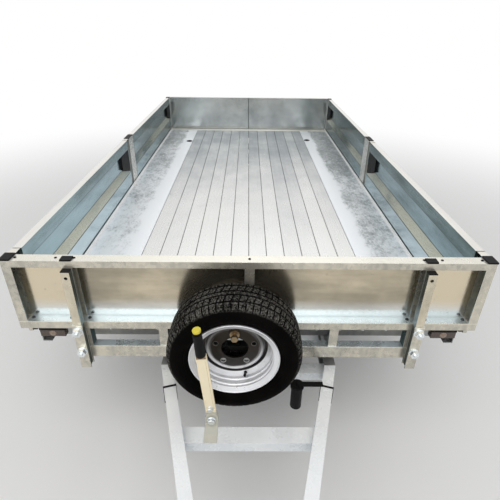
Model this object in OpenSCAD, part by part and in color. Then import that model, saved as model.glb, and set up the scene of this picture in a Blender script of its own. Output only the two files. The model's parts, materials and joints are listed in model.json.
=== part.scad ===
// Tipping dropside trailer with a plank deck, parked on its wheels and its jockey wheel.
// Millimetres. X runs across, Y rearwards, Z up from the ground; the drawbar points to -Y.
// In the modules Y counts from the headboard's front face; placed() moves that to the shared frame.

/* [Load bed] */
// Width across the dropsides
bed_w = 1980; // [1860:10:2100]
// Length from the headboard's front face to the tailboard's rear face
bed_len = 3700; // [3500:10:4000]
// Height of the deck above the ground
deck_z = 720; // [715:1:750]
// Height of the sides above the deck
side_h = 370; // [330:5:420]
// Thickness of the sides, and width of their top rails
side_t = 38; // [36:1:42]
// Gap between the deck's edge and the sides
deck_gap = 5; // [5:1:8]
// Number of planks
plank_count = 12; // [10:1:13]
// Spacing of the planks
plank_pitch = 104; // [98:1:108]
// Seam between two planks
plank_seam = 3; // [2:0.5:5]
// Depth of a plank's turned-down edges
plank_depth = 30; // [26:1:34]
// Sheet thickness of planks, margins and sides
sheet_t = 3; // [2.5:0.5:4]

/* [Bed frame] */
// Number of cross bearers
bearer_count = 8; // [7:1:8]
// Depth of a bearer
bearer_h = 60; // [55:1:65]
// Width of a bearer's flanges
bearer_w = 40; // [35:1:45]
// Depth of the two long beams
beam_h = 59; // [56:1:64]
// Width of a beam, and of a chassis rail
beam_w = 50; // [46:1:54]
// Distance of the beams from the middle
beam_x = 377; // [360:1:390]
// Depth of the edge rails
edge_h = 70; // [66:1:76]
// Wall of rolled sections
wall = 4; // [3:0.5:5]

/* [Headboard] */
// Depth of the headboard's rails and corner posts
head_d = 50; // [46:1:56]
// Height of the lower edge of the bottom rail above the deck
head_lift = 25; // [20:1:30]
// Height of the bottom rail
head_rail_h = 38; // [34:1:44]
// Height of the top rail
head_top_h = 31; // [28:1:36]
// Distance of the inner posts from the middle
post_x = 730; // [715:1:742]
// Width of the inner posts
post_w = 40; // [36:1:44]
// Width of the ladder posts
ladder_w = 35; // [33:1:38]
// Depth of the ladder posts
ladder_d = 26; // [24:1:30]
// Distance from the deck down to the feet of the ladder posts
ladder_drop = 175; // [168:1:185]
// Height of the lower cross rail
low_rail_h = 64; // [58:1:68]
// Distance from the deck down to the top of the lower cross rail
low_rail_drop = 79; // [75:1:85]

/* [Running gear] */
// Outer radius of a tyre
tyre_r = 276; // [270:1:282]
// Width of a tyre over its sidewalls
tyre_w = 189; // [182:1:194]
// Radius of the bead seat
seat_r = 165; // [163:0.5:167]
// Width of the rim between its flanges
rim_w = 140; // [136:1:146]
// Distance of a wheel's middle plane from the trailer's middle
wheel_x = 841; // [836:1:846]
// Distance of the front axle behind the headboard
axle_y = 1690; // [1600:10:1760]
// Distance between the two axles
axle_gap = 620; // [600:5:640]
// Length of a swing arm along the trailer
arm_len = 140; // [130:2:150]
// Side of the square axle beams
axle_w = 80; // [70:2:84]
// Radius of the stub axles
stub_r = 20; // [18:0.5:22]
// Pitch circle of the wheel bolts
bolt_pcd = 165.1; // [160:0.1:170]

/* [Chassis and drawbar] */
// Depth of the chassis rails
rail_h = 100; // [92:2:104]
// Height of the rubber bed pads
pad_h = 40; // [38:1:44]
// Distance from the headboard forward to the tow ball's centre
ball_reach = 1440; // [1420:5:1500]
// Height of the tow ball's centre
ball_z = 470; // [465:1:480]
// Radius of the tow ball's socket
ball_r = 25.2; // [25.1:0.05:25.4]
// Distance of the jockey wheel from the middle
jockey_x = 185; // [180:1:195]
// Radius of the jockey wheel
jockey_r = 100; // [95:1:105]

/* [Tipping gear] */
// Distance of the tipping hinge from the bed's rear end
hinge_back = 200; // [190:2:220]
// Radius of the tipping hinge's pins
tip_pin_r = 12; // [11:0.5:13]
// Distance of both ram pins from the tipping hinge
ram_arm = 1000; // [980:5:1020]
// Drop of the ram's trunnions below the tipping hinge
ram_drop = 200; // [195:1:210]
// Height of the ram's upper pin above the tipping hinge
ram_rise = 60; // [56:1:62]
// Tipping angle that the ram is made for
tip_angle = 45; // [40:1:50]

/* [Fits] */
// Radial clearance of running fits
run_fit = 0.06; // [0.03:0.01:0.09]
// Clearance beside moving lugs and around the dropsides
side_fit = 6; // [5:0.5:7]
// Clearance between a tyre and its rim
bead_fit = 0.3; // [0.2:0.1:0.5]

/* [Hidden] */
$fn = 48;
half_w = bed_w / 2;
in_x = half_w - side_t;
deck_x = in_x - deck_gap;
top_z = deck_z + side_h;
tail_y = bed_len - side_t;
deck_y = [head_d + 5, tail_y - 5];
plank_half = plank_count * plank_pitch / 2;
bearer_z = deck_z - plank_depth;
beam_z = bearer_z - bearer_h;
beam_base = beam_z - beam_h;
edge_w = 42;
edge_x = deck_x - edge_w;
side_base = deck_z - plank_depth;
mid_y = (head_d + tail_y) / 2;
mid_half = 62;
post_t = side_t;
rail_top = beam_base - pad_h - 1;
rail_base = rail_top - rail_h;
tip_y = bed_len - hinge_back;
tip_z = rail_top + 10;
lug_r = 24;
ball_y = -ball_reach;
nose = 48;
latch_out = 10;
y_shift = (ball_reach + nose - bed_len) / 2;

// Lower hinge line of the sides and the tailboard
knuckle_r = 9;
hinge_pin_r = 6;
fold_x = half_w - knuckle_r;
fold_y = bed_len - knuckle_r;
fold_z = side_base - knuckle_r - 5;

// Ram: both pins lie on one circle about the tipping hinge
ram_y0 = tip_y - sqrt(ram_arm * ram_arm - ram_drop * ram_drop);
ram_z0 = tip_z - ram_drop;
ram_y1 = tip_y - sqrt(ram_arm * ram_arm - ram_rise * ram_rise);
ram_z1 = tip_z + ram_rise;
ram_lean = atan2(ram_y0 - ram_y1, ram_z1 - ram_z0);
ram_span = asin(ram_drop / ram_arm) + asin(ram_rise / ram_arm);
ram_shut = 2 * ram_arm * sin(ram_span / 2);
ram_open = 2 * ram_arm * sin((ram_span + tip_angle) / 2);
ram_mid = 2 * ram_arm * sin((ram_span + tip_angle / 2) / 2);
ram_drift = ram_mid - (ram_shut + ram_open) / 2;
ram_pin_r = 15;
trunnion_r = 20;

// Drawbar: the middle lines of its two members
head_run = 440;
draw_end = ball_y + head_run;
draw_tip_x = 91;
draw_slope = (beam_x - draw_tip_x) / -draw_end;
draw_w = 50;
draw_half = draw_w / 2 * sqrt(1 + draw_slope * draw_slope);
draw_h = 90;
draw_cross_y = [0.36 * draw_end, 0.29 * draw_end];
function draw_x(y) = beam_x + draw_slope * y;

// Shared shapes

// Box between limits, each given as [low, high]
module span(x, y, z) {
    translate([x[0], y[0], z[0]]) cube([x[1] - x[0], y[1] - y[0], z[1] - z[0]]);
}

module placed() { translate([0, y_shift, 0]) children(); }

// The children and their mirror image across the middle
module both() {
    children();
    mirror([1, 0, 0]) children();
}

// The children on one side: 1 is +X, -1 is -X
module on_side(side) { mirror([side < 0 ? 1 : 0, 0, 0]) children(); }

// Extrude a profile drawn in (x, z) along Y, or one drawn in (y, z) along X
module along_y(y) { translate([0, y[1], 0]) rotate([90, 0, 0]) linear_extrude(y[1] - y[0]) children(); }
module along_x(x) { translate([x[0], 0, 0]) rotate([90, 0, 90]) linear_extrude(x[1] - x[0]) children(); }

module rod_x(x, y, z, r) { translate([x[0], y, z]) rotate([0, 90, 0]) cylinder(r = r, h = x[1] - x[0]); }
module rod_y(y, x, z, r) { translate([x, y[0], z]) rotate([-90, 0, 0]) cylinder(r = r, h = y[1] - y[0]); }
module rod_z(z, x, y, r) { translate([x, y, z[0]]) cylinder(r = r, h = z[1] - z[0]); }

// Rectangle between limits
module rect(x, y) { translate([x[0], y[0]]) square([x[1] - x[0], y[1] - y[0]]); }

// Channel profile in a w by h rectangle at the origin, open to +x
module channel(w, h, t) {
    difference() {
        square([w, h]);
        translate([t, t]) square([w, h - 2 * t]);
    }
}

module tube2d(w, h, t) {
    difference() {
        square([w, h]);
        translate([t, t]) square([w - 2 * t, h - 2 * t]);
    }
}

// Bar with round ends between two points
module bar2d(p, q, r) {
    d = q - p;
    translate(p) circle(r);
    translate(q) circle(r);
    translate(p) rotate(atan2(d[1], d[0])) translate([0, -r]) square([norm(d), 2 * r]);
}

// Chassis

module chassis_rails() {
    color("lightgray") both() difference() {
        union() {
            along_y([0, tip_y - 30]) translate([beam_x + beam_w / 2, rail_base]) mirror([1, 0])
                channel(beam_w, rail_h, wall + 1);
            for (x = [beam_x - beam_w / 2 - 10, beam_x + beam_w / 2 - 1])
                along_x([x, x + 11]) {
                    translate([tip_y, tip_z]) circle(lug_r);
                    rect([tip_y - 130, tip_y + lug_r], [rail_base + 20, tip_z]);
                }
            rod_x([beam_x - beam_w / 2 - 10, beam_x + beam_w / 2 + 10], tip_y, tip_z, tip_pin_r);
        }
    }
}

// Places of the plain cross-members, and their height
cross_y = [0.072 * tip_y, 0.174 * tip_y, 0.337 * tip_y, tip_y - 175];
cross_h = 60;
cross_z = rail_base + 20;
cradle_y = [ram_y0 - 114, ram_y0 + 160];

module cross_member(y, z, h) {
    reach = beam_x + beam_w / 2 - wall - 1;
    translate([-reach, y - cross_h / 2, z]) rotate([90, 0, 90]) linear_extrude(2 * reach)
        tube2d(cross_h, h, wall);
}

module chassis_crossmembers() {
    color("lightgray") {
        for (y = cross_y) cross_member(y, cross_z, cross_h);
        cross_member(cross_h / 2, rail_base + 5, 45);
        translate([0, 0, rail_top - draw_h + wall]) linear_extrude(50) polygon([for (p = [[-1, 0],
            [1, 0], [1, 1], [-1, 1]])
            [p[0] * (draw_x(draw_cross_y[p[1]]) + draw_half - wall), draw_cross_y[p[1]]]]);
        for (y = cradle_y) cross_member(y, cross_z, cross_h);
    }
}

// Hanger plates of the ram's trunnions, under the two cross-members beside it
module ram_cradle() {
    x = ram_r[0] + 11;
    foot = trunnion_r * 2;
    color("lightgray") both() difference() {
        along_x([x, x + 12]) polygon([[cradle_y[0] - cross_h / 2, cross_z],
            [cradle_y[1] + cross_h / 2, cross_z],
            [ram_y0 + foot, ram_z0 - foot], [ram_y0 - foot, ram_z0 - foot]]);
        rod_x([x - 1, x + 13], ram_y0, ram_z0, trunnion_r + run_fit);
    }
}

// Strip that follows a drawbar member, between two distances out from its middle line
module draw_strip(y, out) {
    polygon([[draw_x(y[0]) + out[0], y[0]], [draw_x(y[0]) + out[1], y[0]],
        [draw_x(y[1]) + out[1], y[1]], [draw_x(y[1]) + out[0], y[1]]]);
}

module drawbar() {
    color("lightgray") both() translate([0, 0, rail_top - draw_h]) difference() {
        linear_extrude(draw_h) draw_strip([draw_end, 0], [-draw_half, draw_half]);
        translate([0, 0, wall]) linear_extrude(draw_h - 2 * wall)
            draw_strip([draw_end - 1, 1], [-draw_half - 2, draw_half - wall]);
    }
}

// Coupling: a tube under a bridge plate, a bellows and the ball's head
coupling_out = 240;
coupling_in = 150;
gaiter_len = 90;

module coupling_body() {
    y = [draw_end - coupling_out, draw_end + coupling_in];
    bridge = coupling_in - 10;
    color("gray") {
        difference() {
            union() {
                rod_y(y, 0, ball_z + 15, 40);
                rod_y([y[0], y[0] + 22], 0, ball_z + 15, 47);
                span([-36, 36], [draw_end, draw_end + bridge], [ball_z + 20, rail_top + 1]);
                span([-draw_tip_x - 32, draw_tip_x + 32], [draw_end, draw_end + bridge],
                    [rail_top, rail_top + 10]);
            }
            rod_y([y[0] - 1, y[1] - 30], 0, ball_z + 15, 25 + run_fit);
        }
    }
}

module coupling_gaiter() {
    folds = 5;
    len = gaiter_len;
    pitch = len / folds;
    color("black") translate([0, draw_end - coupling_out, ball_z + 15]) rotate([90, 0, 0]) rotate_extrude()
        polygon(concat([[25.5, len], [25.5, 0]],
            [for (i = [0 : folds - 1]) each [[36, i * pitch], [45, (i + 0.5) * pitch]]], [[36, len]]));
}

module coupling_head() {
    y0 = draw_end - coupling_out - gaiter_len;
    color("silver") difference() {
        union() {
            rod_y([y0 - 20, draw_end], 0, ball_z + 15, 25);
            rod_y([y0 - 45, y0 - 5], 0, ball_z + 15, 36);
            along_x([-30, 30]) polygon([[y0 - 30, ball_z - 12], [y0 - 30, ball_z + 41],
                [ball_y, ball_z + 41],
                [ball_y, ball_z - 12]]);
            translate([0, ball_y, ball_z]) rotate_extrude()
                polygon([[0, -18], [nose, -18], [nose, -9], [41, -5], [39, 24], [24, 44], [0, 44]]);
            along_x([-9, 9]) translate([ball_y, ball_z]) polygon([[48, 34], [70, 34], [128, 80],
                [122, 96], [48, 62]]);
        }
        translate([0, ball_y, ball_z]) rotate_extrude()
            polygon(concat([[0, -20], [ball_r, -20]], [for (a = [0 : 18 : 72]) ball_r * [cos(a), sin(a)]],
                [[0, ball_r * sin(72)]]));
    }
}

// Handbrake: foot and top of the lever's middle line, in (x, z)
brake_y = -262;
brake_foot = [-148, rail_top - 6];
brake_rise = 236;
brake_top = [-186, deck_z + brake_rise];
grip_len = 100;

module handbrake_lever() {
    d = brake_top - brake_foot;
    lean = atan2(d[0], d[1]);
    color("wheat") {
        translate([brake_foot[0], brake_y, brake_foot[1]]) rotate([0, lean, 0]) {
            difference() {
                union() {
                    span([-21, 21], [-6, 6], [0, norm(d) - grip_len]);
                    span([-11, 11], [-6, 6], [norm(d) - grip_len - 1, norm(d) - 10]);
                    rod_y([-6, 6], 0, 0, 24);
                }
                for (x = [-30, 13]) span([x, x + 17], [-7, -2], [40, norm(d) - 130]);
            }
        }
        for (y = [brake_y - 14, brake_y + 7]) along_y([y, y + 7]) {
            translate(brake_foot) circle(26);
            rect([brake_foot[0] - 26, brake_foot[0] + 26], [rail_top - 36, brake_foot[1]]);
        }
        span([brake_foot[0] - 26, brake_foot[0] + 26], [draw_cross_y[0], brake_y + 14],
            [rail_top - 36, rail_top - 32]);
        rod_y([brake_y - 22, brake_y + 22], brake_foot[0], brake_foot[1], 8);
    }
}

module handbrake_grip() {
    d = brake_top - brake_foot;
    color("black") translate([brake_foot[0], brake_y, brake_foot[1]]) rotate([0, atan2(d[0], d[1]), 0])
        difference() {
        union() {
            translate([0, 0, norm(d) - 100]) cylinder(r1 = 19, r2 = 17, h = 100);
            rod_z([norm(d), norm(d) + 16], 0, 0, 9);
        }
        span([-11, 11], [-6, 6], [norm(d) - 110, norm(d) - 10]);
    }
}

// Axles with swing arms, stub axles and brake back plates

axle_ys = [axle_y, axle_y + axle_gap];
stub_end = wheel_x + 20;
drum_r = 115;
drum_back = wheel_x - rim_w / 2;
plate_x = [drum_back - 34, drum_back - 8];
arm_t = 25;
arm_x = wheel_x - tyre_w / 2 - arm_t - 31;

module axles() {
    for (y = axle_ys) color("lightgray") union() {
        along_x([-arm_x, arm_x]) translate([y - arm_len - axle_w / 2, rail_base - axle_w])
            tube2d(axle_w, axle_w, 6);
        both() {
            along_x([arm_x - 1, arm_x + arm_t]) bar2d([y - arm_len, rail_base - axle_w / 2], [y, tyre_r],
                axle_w / 2 + 2);
            rod_x([arm_x, stub_end], y, tyre_r, stub_r);
            rod_x([arm_x + arm_t - 1, plate_x[0] + 1], y, tyre_r, 1.6 * stub_r);
            rod_x(plate_x, y, tyre_r, drum_r + 3);
        }
    }
}

module bed_pads() {
    w = 0.8 * beam_w;
    color("black") both() for (f = [0.094, 0.371, 0.629, 0.886])
        span([beam_x - w / 2, beam_x + w / 2], [f * tip_y - w, f * tip_y + w],
            [rail_top, rail_top + pad_h]);
}

// Hydraulic pack: a tank between two cross-members, with its motor beside it
tank_w = 310;
tank_x = -35;
motor_r = 52;

module hydraulic_pack() {
    y = [cross_y[0] + cross_h / 2, cross_y[1] - cross_h / 2];
    x = [tank_x - tank_w / 2, tank_x + tank_w / 2];
    color("dimgray") {
        span(x, y, [rail_base - 30, rail_top - 20]);
        rod_y([y[0] + 40, y[1] - 40], x[1] + motor_r - 2, rail_base + 30, motor_r);
    }
}

// Rear light bar under the rails, and its lamps and triangular reflectors
light_half = half_w - 110;
light_w = 40;
light_y = tip_y - 65;
lamp_size = [180, 42, 80];

module rear_light_bar() {
    color("lightgray") translate([-light_half, light_y - light_w, rail_base - light_w]) rotate([90, 0, 90])
        linear_extrude(2 * light_half) tube2d(light_w, light_w, wall);
}

module rear_lamps() {
    x = light_half - 10;
    mid = rail_base - light_w / 2;
    tri = lamp_size[0] / 3;
    color("darkred") both() {
        span([x - lamp_size[0], x], [light_y, light_y + lamp_size[1]],
            [mid - lamp_size[2] / 2, mid + lamp_size[2] / 2]);
        translate([x - lamp_size[0] - tri - 10, light_y, mid]) rotate([-90, 0, 0]) linear_extrude(8)
            polygon([for (a = [30, 150, 270]) tri * [cos(a), sin(a)]]);
    }
}

module parked_plug() {
    y = -110;
    x = draw_x(y) - 132;
    color("black") {
        rod_z([rail_top - 130, rail_top - 12], x, y, 25);
        rod_z([rail_top - 12, rail_top], x, y, 30);
        span([x, draw_x(y) - 20], [y - 12, y + 12], [rail_top, rail_top + 5]);
    }
}

// Jockey wheel: sleeve, leg, fork and wheel

jockey_y = draw_end + 70;
leg_r = 26;
leg_len = 380;
sleeve_len = 365;
fork_pin_len = 46;
jockey_trail = 48;
fork_top = 2 * jockey_r + 28;
sleeve_z = [rail_base + 20, rail_base + 20 + sleeve_len];

clamp_z = [rail_top - 75, rail_top - 15];

module jockey_sleeve() {
    color("lightgray") difference() {
        union() {
            rod_z(sleeve_z, jockey_x, jockey_y, leg_r + 4);
            rod_z(clamp_z, jockey_x, jockey_y, leg_r + 12);
            translate([0, 0, clamp_z[0]]) linear_extrude(clamp_z[1] - clamp_z[0])
                polygon([[jockey_x, jockey_y - 30],
                [jockey_x, jockey_y + 30], [draw_x(jockey_y + 30) + draw_half, jockey_y + 30],
                [draw_x(jockey_y - 30) + draw_half, jockey_y - 30]]);
            rod_z([sleeve_z[1] - 1, sleeve_z[1] + 22], jockey_x, jockey_y, 10);
            along_x([jockey_x - 6, jockey_x + 6])
                bar2d([jockey_y, sleeve_z[1] + 22], [jockey_y - 130, sleeve_z[1] + 22], 8);
            rod_z([sleeve_z[1] + 22, sleeve_z[1] + 110], jockey_x, jockey_y - 130, 12);
        }
        rod_z([sleeve_z[0] - 1, sleeve_z[1] - 15], jockey_x, jockey_y, leg_r + run_fit);
    }
}

module jockey_leg() {
    color("silver") difference() {
        rod_z([fork_top + 1, fork_top + leg_len], jockey_x, jockey_y, leg_r);
        rod_z([fork_top, fork_top + fork_pin_len + 5], jockey_x, jockey_y, 10 + run_fit);
    }
}

module jockey_fork() {
    color("lightgray") {
        rod_z([fork_top - 1, fork_top + fork_pin_len], jockey_x, jockey_y, 10);
        span([jockey_x - 44, jockey_x + 44], [jockey_y - 30, jockey_y + 44], [fork_top - 9, fork_top]);
        for (x = [-44, 38]) along_x([jockey_x + x, jockey_x + x + 6]) {
            bar2d([jockey_y + 14, fork_top - 24], [jockey_y + jockey_trail, jockey_r], 24);
            rect([jockey_y - 30, jockey_y + 44], [fork_top - 24, fork_top - 1]);
        }
        rod_x([jockey_x - 52, jockey_x + 52], jockey_y + jockey_trail, jockey_r, 8);
    }
}

module jockey_wheel() {
    color("black") translate([jockey_x, jockey_y + jockey_trail, jockey_r]) rotate([0, 90, 0])
        rotate_extrude()
        polygon([[8 + run_fit, -33], [20, -33], [22, -14], [62, -12], [66, -30], [88, -30],
            [jockey_r - 3, -20],
            [jockey_r, 0], [jockey_r - 3, 20], [88, 30], [66, 30], [62, 12], [22, 14], [20, 33],
                [8 + run_fit, 33]]);
}

// Wheels: drawn about Z at the origin with the outer side up

flange_r = seat_r + 17;
flange_t = 8;
rim_half = rim_w / 2;
well_r = seat_r - 24;

// Half of a tyre's outline from its bead to the tread's middle, in (radius, distance from the middle)
function tyre_half() = let (w = tyre_w / 2) [
    [seat_r + bead_fit, rim_half - 0.5], [flange_r + 2, rim_half - 0.5], [flange_r + 5, rim_half + 10],
    [flange_r + 22, w - 4], [flange_r + 38, w], [flange_r + 58, w - 3], [tyre_r - 22, w - 8],
        [tyre_r - 10, w - 18],
    [tyre_r - 4, w - 30], [tyre_r - 2.4, w - 40], [tyre_r - 10, w - 41.5], [tyre_r - 10, w - 48.5],
        [tyre_r - 1.8, w - 50],
    [tyre_r - 0.4, 16], [tyre_r - 9, 14.5], [tyre_r - 9, 8.5], [tyre_r, 7]];

module tyre() {
    half = tyre_half();
    n = len(half);
    color("#202020") rotate_extrude($fn = 72)
        polygon(concat(half, [for (i = [n - 1 : -1 : 0]) [half[i][0], -half[i][1]]]));
}

// Rolled rim with its drop centre, and the dished disc
module wheel_shell() {
    t = 5;
    rotate_extrude() polygon([[flange_r, rim_half], [flange_r, rim_half + flange_t],
        [flange_r - 6, rim_half + flange_t],
        [seat_r - 6, rim_half], [seat_r - 8, 14], [well_r - t, 4], [well_r - t, -36], [seat_r - 8, -52],
            [seat_r - 6, -rim_half],
        [flange_r - 6, -rim_half - flange_t], [flange_r, -rim_half - flange_t], [flange_r, -rim_half],
            [seat_r, -rim_half],
        [seat_r - 2, -48], [well_r, -34], [well_r, 0], [seat_r - 2, 10], [seat_r, rim_half]]);
    rotate_extrude() polygon([[56, 2], [100, 2], [118, -12], [well_r - t + 1, -14], [well_r - t + 1, -6],
        [122, -4],
        [104, 10], [56, 10]]);
}

module rim_holes() {
    for (i = [0 : 4]) rotate(90 + 72 * i) translate([bolt_pcd / 2, 0, -40]) cylinder(r = 9.5, h = 80);
}

module spare_wheel_rim() {
    color("silver") difference() {
        wheel_shell();
        rim_holes();
    }
}

// Road wheel with its hub, dust cap, brake drum and bolt heads
module road_wheel() {
    color("silver") difference() {
        union() {
            wheel_shell();
            translate([0, 0, drum_back - wheel_x]) cylinder(r = drum_r, h = 3 - drum_back + wheel_x);
            translate([0, 0, 2]) cylinder(r = 56.5, h = 14);
            translate([0, 0, 15]) cylinder(r1 = 36, r2 = 32, h = 34);
            for (i = [0 : 4]) rotate(90 + 72 * i) translate([bolt_pcd / 2, 0, 9])
                cylinder(r = 11, h = 13, $fn = 6);
        }
        translate([0, 0, drum_back - wheel_x - 1])
            cylinder(r = stub_r + run_fit, h = stub_end - drum_back + 3);
        translate([0, 0, drum_back - wheel_x - 1]) cylinder(r = drum_r - 15, h = 40);
    }
}

module at_wheel(side, axle) {
    translate([side * wheel_x, axle_ys[axle], tyre_r]) rotate([0, side * 90, 0]) children();
}

// Load bed

module bed_beams() {
    color("lightgray") both() difference() {
        union() {
            along_y([44, bed_len - side_t - 12]) translate([beam_x - beam_w / 2, beam_base])
                tube2d(beam_w, beam_h, wall);
            along_x([beam_x - beam_w / 2 + side_fit, beam_x + beam_w / 2 - side_fit]) {
                translate([tip_y, tip_z]) circle(lug_r);
                rect([tip_y - lug_r, tip_y + lug_r], [tip_z, beam_base + 1]);
            }
        }
        rod_x([beam_x - beam_w, beam_x + beam_w], tip_y, tip_z, tip_pin_r + run_fit);
    }
}

module bed_bearers() {
    first = head_d + 60;
    last = tail_y - 75;
    step = (last - first) / (bearer_count - 1);
    color("lightgray") {
        for (i = [0 : bearer_count - 1]) translate([-edge_x, first + i * step - bearer_w / 2, beam_z])
            rotate([90, 0, 90]) linear_extrude(2 * edge_x) channel(bearer_w, bearer_h, wall);
        span([-edge_x, edge_x], [tail_y - 16, tail_y - 8], [beam_z, bearer_z]);
    }
}

module bed_edge_rails() {
    color("lightgray") both() along_y(deck_y) translate([deck_x, bearer_z - edge_h]) mirror([1, 0])
        channel(edge_w, edge_h, wall);
}

// Lower cross rail, its stubs up to the headboard, and the sockets of the ladder posts
socket_fit = 0.5;
socket_t = 4;
socket_z = [deck_z - ladder_drop, deck_z + 66];
low_rail_z = [deck_z - low_rail_drop - low_rail_h, deck_z - low_rail_drop];

module front_frame() {
    inner = ladder_w + 2 * socket_fit;
    outer = inner + 2 * socket_t;
    deep = ladder_d + 2 * socket_fit;
    back = socket_fit + socket_t;
    color("lightgray") {
        difference() {
            span([-post_x - outer / 2, post_x + outer / 2], [back, 44], low_rail_z);
            span([-post_x - outer, post_x + outer], [back + wall, 44 - wall],
                [low_rail_z[0] + wall, low_rail_z[1] - wall]);
        }
        both() {
            span([beam_x - 20, beam_x + 20], [back + 5, 40],
                [low_rail_z[1] - wall, deck_z + head_lift + head_rail_h - wall]);
            difference() {
                span([post_x - outer / 2, post_x + outer / 2], [back - deep - 2 * socket_t, back + 0.5],
                    socket_z);
                span([post_x - outer, post_x + inner / 2], [back - socket_t - deep, back - socket_t],
                    [socket_z[0] - 1, socket_z[1] + 1]);
                span([post_x - outer, post_x + outer], [-socket_fit, back + 1],
                    [deck_z + head_lift - 3, socket_z[1] + 1]);
            }
            span([post_x - outer / 2 - 14, post_x - outer / 2 - 10], [back - 2, 44],
                [low_rail_z[1] - 1, deck_z + head_lift]);
            span([post_x - outer / 2 - 14, post_x], [back, back + wall],
                [low_rail_z[1] - 1, deck_z + head_lift]);
        }
    }
}

module deck_planks() {
    w = plank_pitch - plank_seam;
    color("gainsboro") for (i = [0 : plank_count - 1]) translate([(i - plank_count / 2)
        * plank_pitch + plank_seam / 2, 0, 0])
        along_y(deck_y) translate([0, bearer_z]) difference() {
            square([w, plank_depth]);
            translate([sheet_t, -1]) square([w - 2 * sheet_t, plank_depth - sheet_t + 1]);
        }
}

// Sheet margins beside the planks, with an upturned lip along the sides
margin_lip = [4, 14];

module deck_margins() {
    x = [plank_half + plank_seam / 2, deck_x];
    color("lightsteelblue") both() along_y(deck_y) {
        difference() {
            rect(x, [bearer_z, deck_z]);
            for (k = [0, 1]) rect([x[0] + sheet_t + k * (x[1] - x[0]) / 2, (x[0] + x[1])
                / 2 + k * ((x[1] - x[0]) / 2 - sheet_t)],
                [bearer_z - 1, deck_z - sheet_t]);
        }
        rect([deck_x - margin_lip[0], deck_x], [deck_z - 1, deck_z + margin_lip[1]]);
    }
}

head_base = deck_z + head_lift;
head_rail_z = [head_base, head_base + head_rail_h];
head_top_z = [top_z - head_top_h, top_z];
sheet_y = [head_d - 6, head_d - 6 + sheet_t];

module headboard_frame() {
    color("lightgray") {
        difference() {
            span([-half_w, half_w], [0, head_d], head_top_z);
            span([-half_w + wall, half_w - wall], [wall, head_d - wall], [head_top_z[0] - 1, top_z - wall]);
        }
        span([-in_x, in_x], [0, wall], head_rail_z);
        span([-in_x, in_x], [0, sheet_y[0]], [head_rail_z[1] - wall, head_rail_z[1]]);
        both() {
            translate([0, 0, head_base]) linear_extrude(head_top_z[0] - head_base + 1)
                translate([half_w, 0]) mirror([1, 0])
                channel(side_t, head_d, wall);
            translate([0, 0, head_rail_z[1] - 1]) linear_extrude(head_top_z[0] - head_rail_z[1] + 2)
                translate([post_x + post_w / 2, 0]) mirror([1, 0]) channel(post_w, sheet_y[0], wall);
            end_lip([head_d - wall, head_d + rebate], [head_d, head_d + rebate - wall]);
        }
        translate([0, 0, head_rail_z[1] - 1]) linear_extrude(head_top_z[0] - head_rail_z[1] + 2)
            translate([-post_w / 2, 0]) tube2d(post_w, sheet_y[0], wall);
    }
}

module headboard_sheet() {
    color("lightsteelblue") span([-in_x, in_x], sheet_y, [deck_z + 2, head_top_z[0]]);
}

ladder_top = top_z - 38;

module ladder_posts() {
    color("lightgray") both() difference() {
        translate([post_x - ladder_w / 2, -ladder_d, deck_z - ladder_drop + 5])
            linear_extrude(ladder_top - deck_z + ladder_drop - 5)
            tube2d(ladder_w, ladder_d, wall);
        rod_y([-ladder_d - 1, 1], post_x, ladder_top - 28, 7);
    }
}

// Hexagon heads of the bolts that clamp the ladder posts
clamp_rise = [36, -76];
clamp_r = 20;
clamp_len = 18;

module clamp_bolts() {
    face = -ladder_d - socket_fit - socket_t;
    color("silver") both() for (rise = clamp_rise) {
        rod_y([face - 4, face], post_x, deck_z + rise, clamp_r + 2);
        along_y([face - 3 - clamp_len, face - 3]) translate([post_x, deck_z + rise])
            polygon([for (i = [0 : 5]) clamp_r * [cos(60 * i), sin(60 * i)]]);
        rod_y([face - clamp_len - 12, face - clamp_len], post_x, deck_z + rise, 8);
    }
}

module post_caps() {
    color("black") both() {
        span([in_x - 1, half_w + 2], [-2, head_d + 2], [top_z, top_z + 7]);
        span([post_x - post_w / 2 - 2, post_x + post_w / 2 + 2], [-2, 30], [top_z, top_z + 7]);
        span([post_x - ladder_w / 2, post_x + ladder_w / 2], [-ladder_d, 0], [ladder_top, ladder_top + 4]);
        for (y = post_ys) span([in_x, half_w], y, [top_z, top_z + 4]);
    }
}

module front_markers() {
    x = post_x + 129;
    color("saddlebrown") both() {
        span([x - 56, x + 56], [0, 34], [head_base - 12, head_base]);
        span([x - 54, x + 54], [1, 30], [head_base - 46, head_base - 11]);
    }
}

// Middle and rear posts of the sides, as [front, back]. A set-back lip in front of the middle post
// and behind the headboard's corner takes the end of a side.
post_ys = [[mid_y - mid_half, mid_y + mid_half], [tail_y - side_fit - post_t, tail_y - side_fit]];
rebate = 46;
rebate_in = 20;

module end_lip(y, open) {
    x = [in_x + rebate_in, half_w];
    difference() {
        span(x, y, [side_base, top_z]);
        span([x[0] + wall, x[1] - wall], open, [side_base + wall, top_z - wall]);
    }
}

module side_posts() {
    color("lightgray") both() {
        for (y = post_ys) difference() {
            union() {
                span([in_x, half_w], y, [side_base - edge_h, top_z]);
                span([deck_x, half_w], y, [side_base - edge_h, side_base]);
            }
            span([in_x + wall, half_w - wall], [y[0] + wall, y[1] - wall], [side_base, top_z - wall]);
        }
        end_lip([post_ys[0][0] - rebate, post_ys[0][0] + 1],
            [post_ys[0][0] - rebate + wall, post_ys[0][0] - wall]);
    }
}

// Hinges along the lower edges. A bracket is drawn at the origin with its pin along Y and its
// foot to -X; a knuckle turns between its ears.

knuckle_len = 60;
ear_t = 10;
ear_gap = 2;

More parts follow.
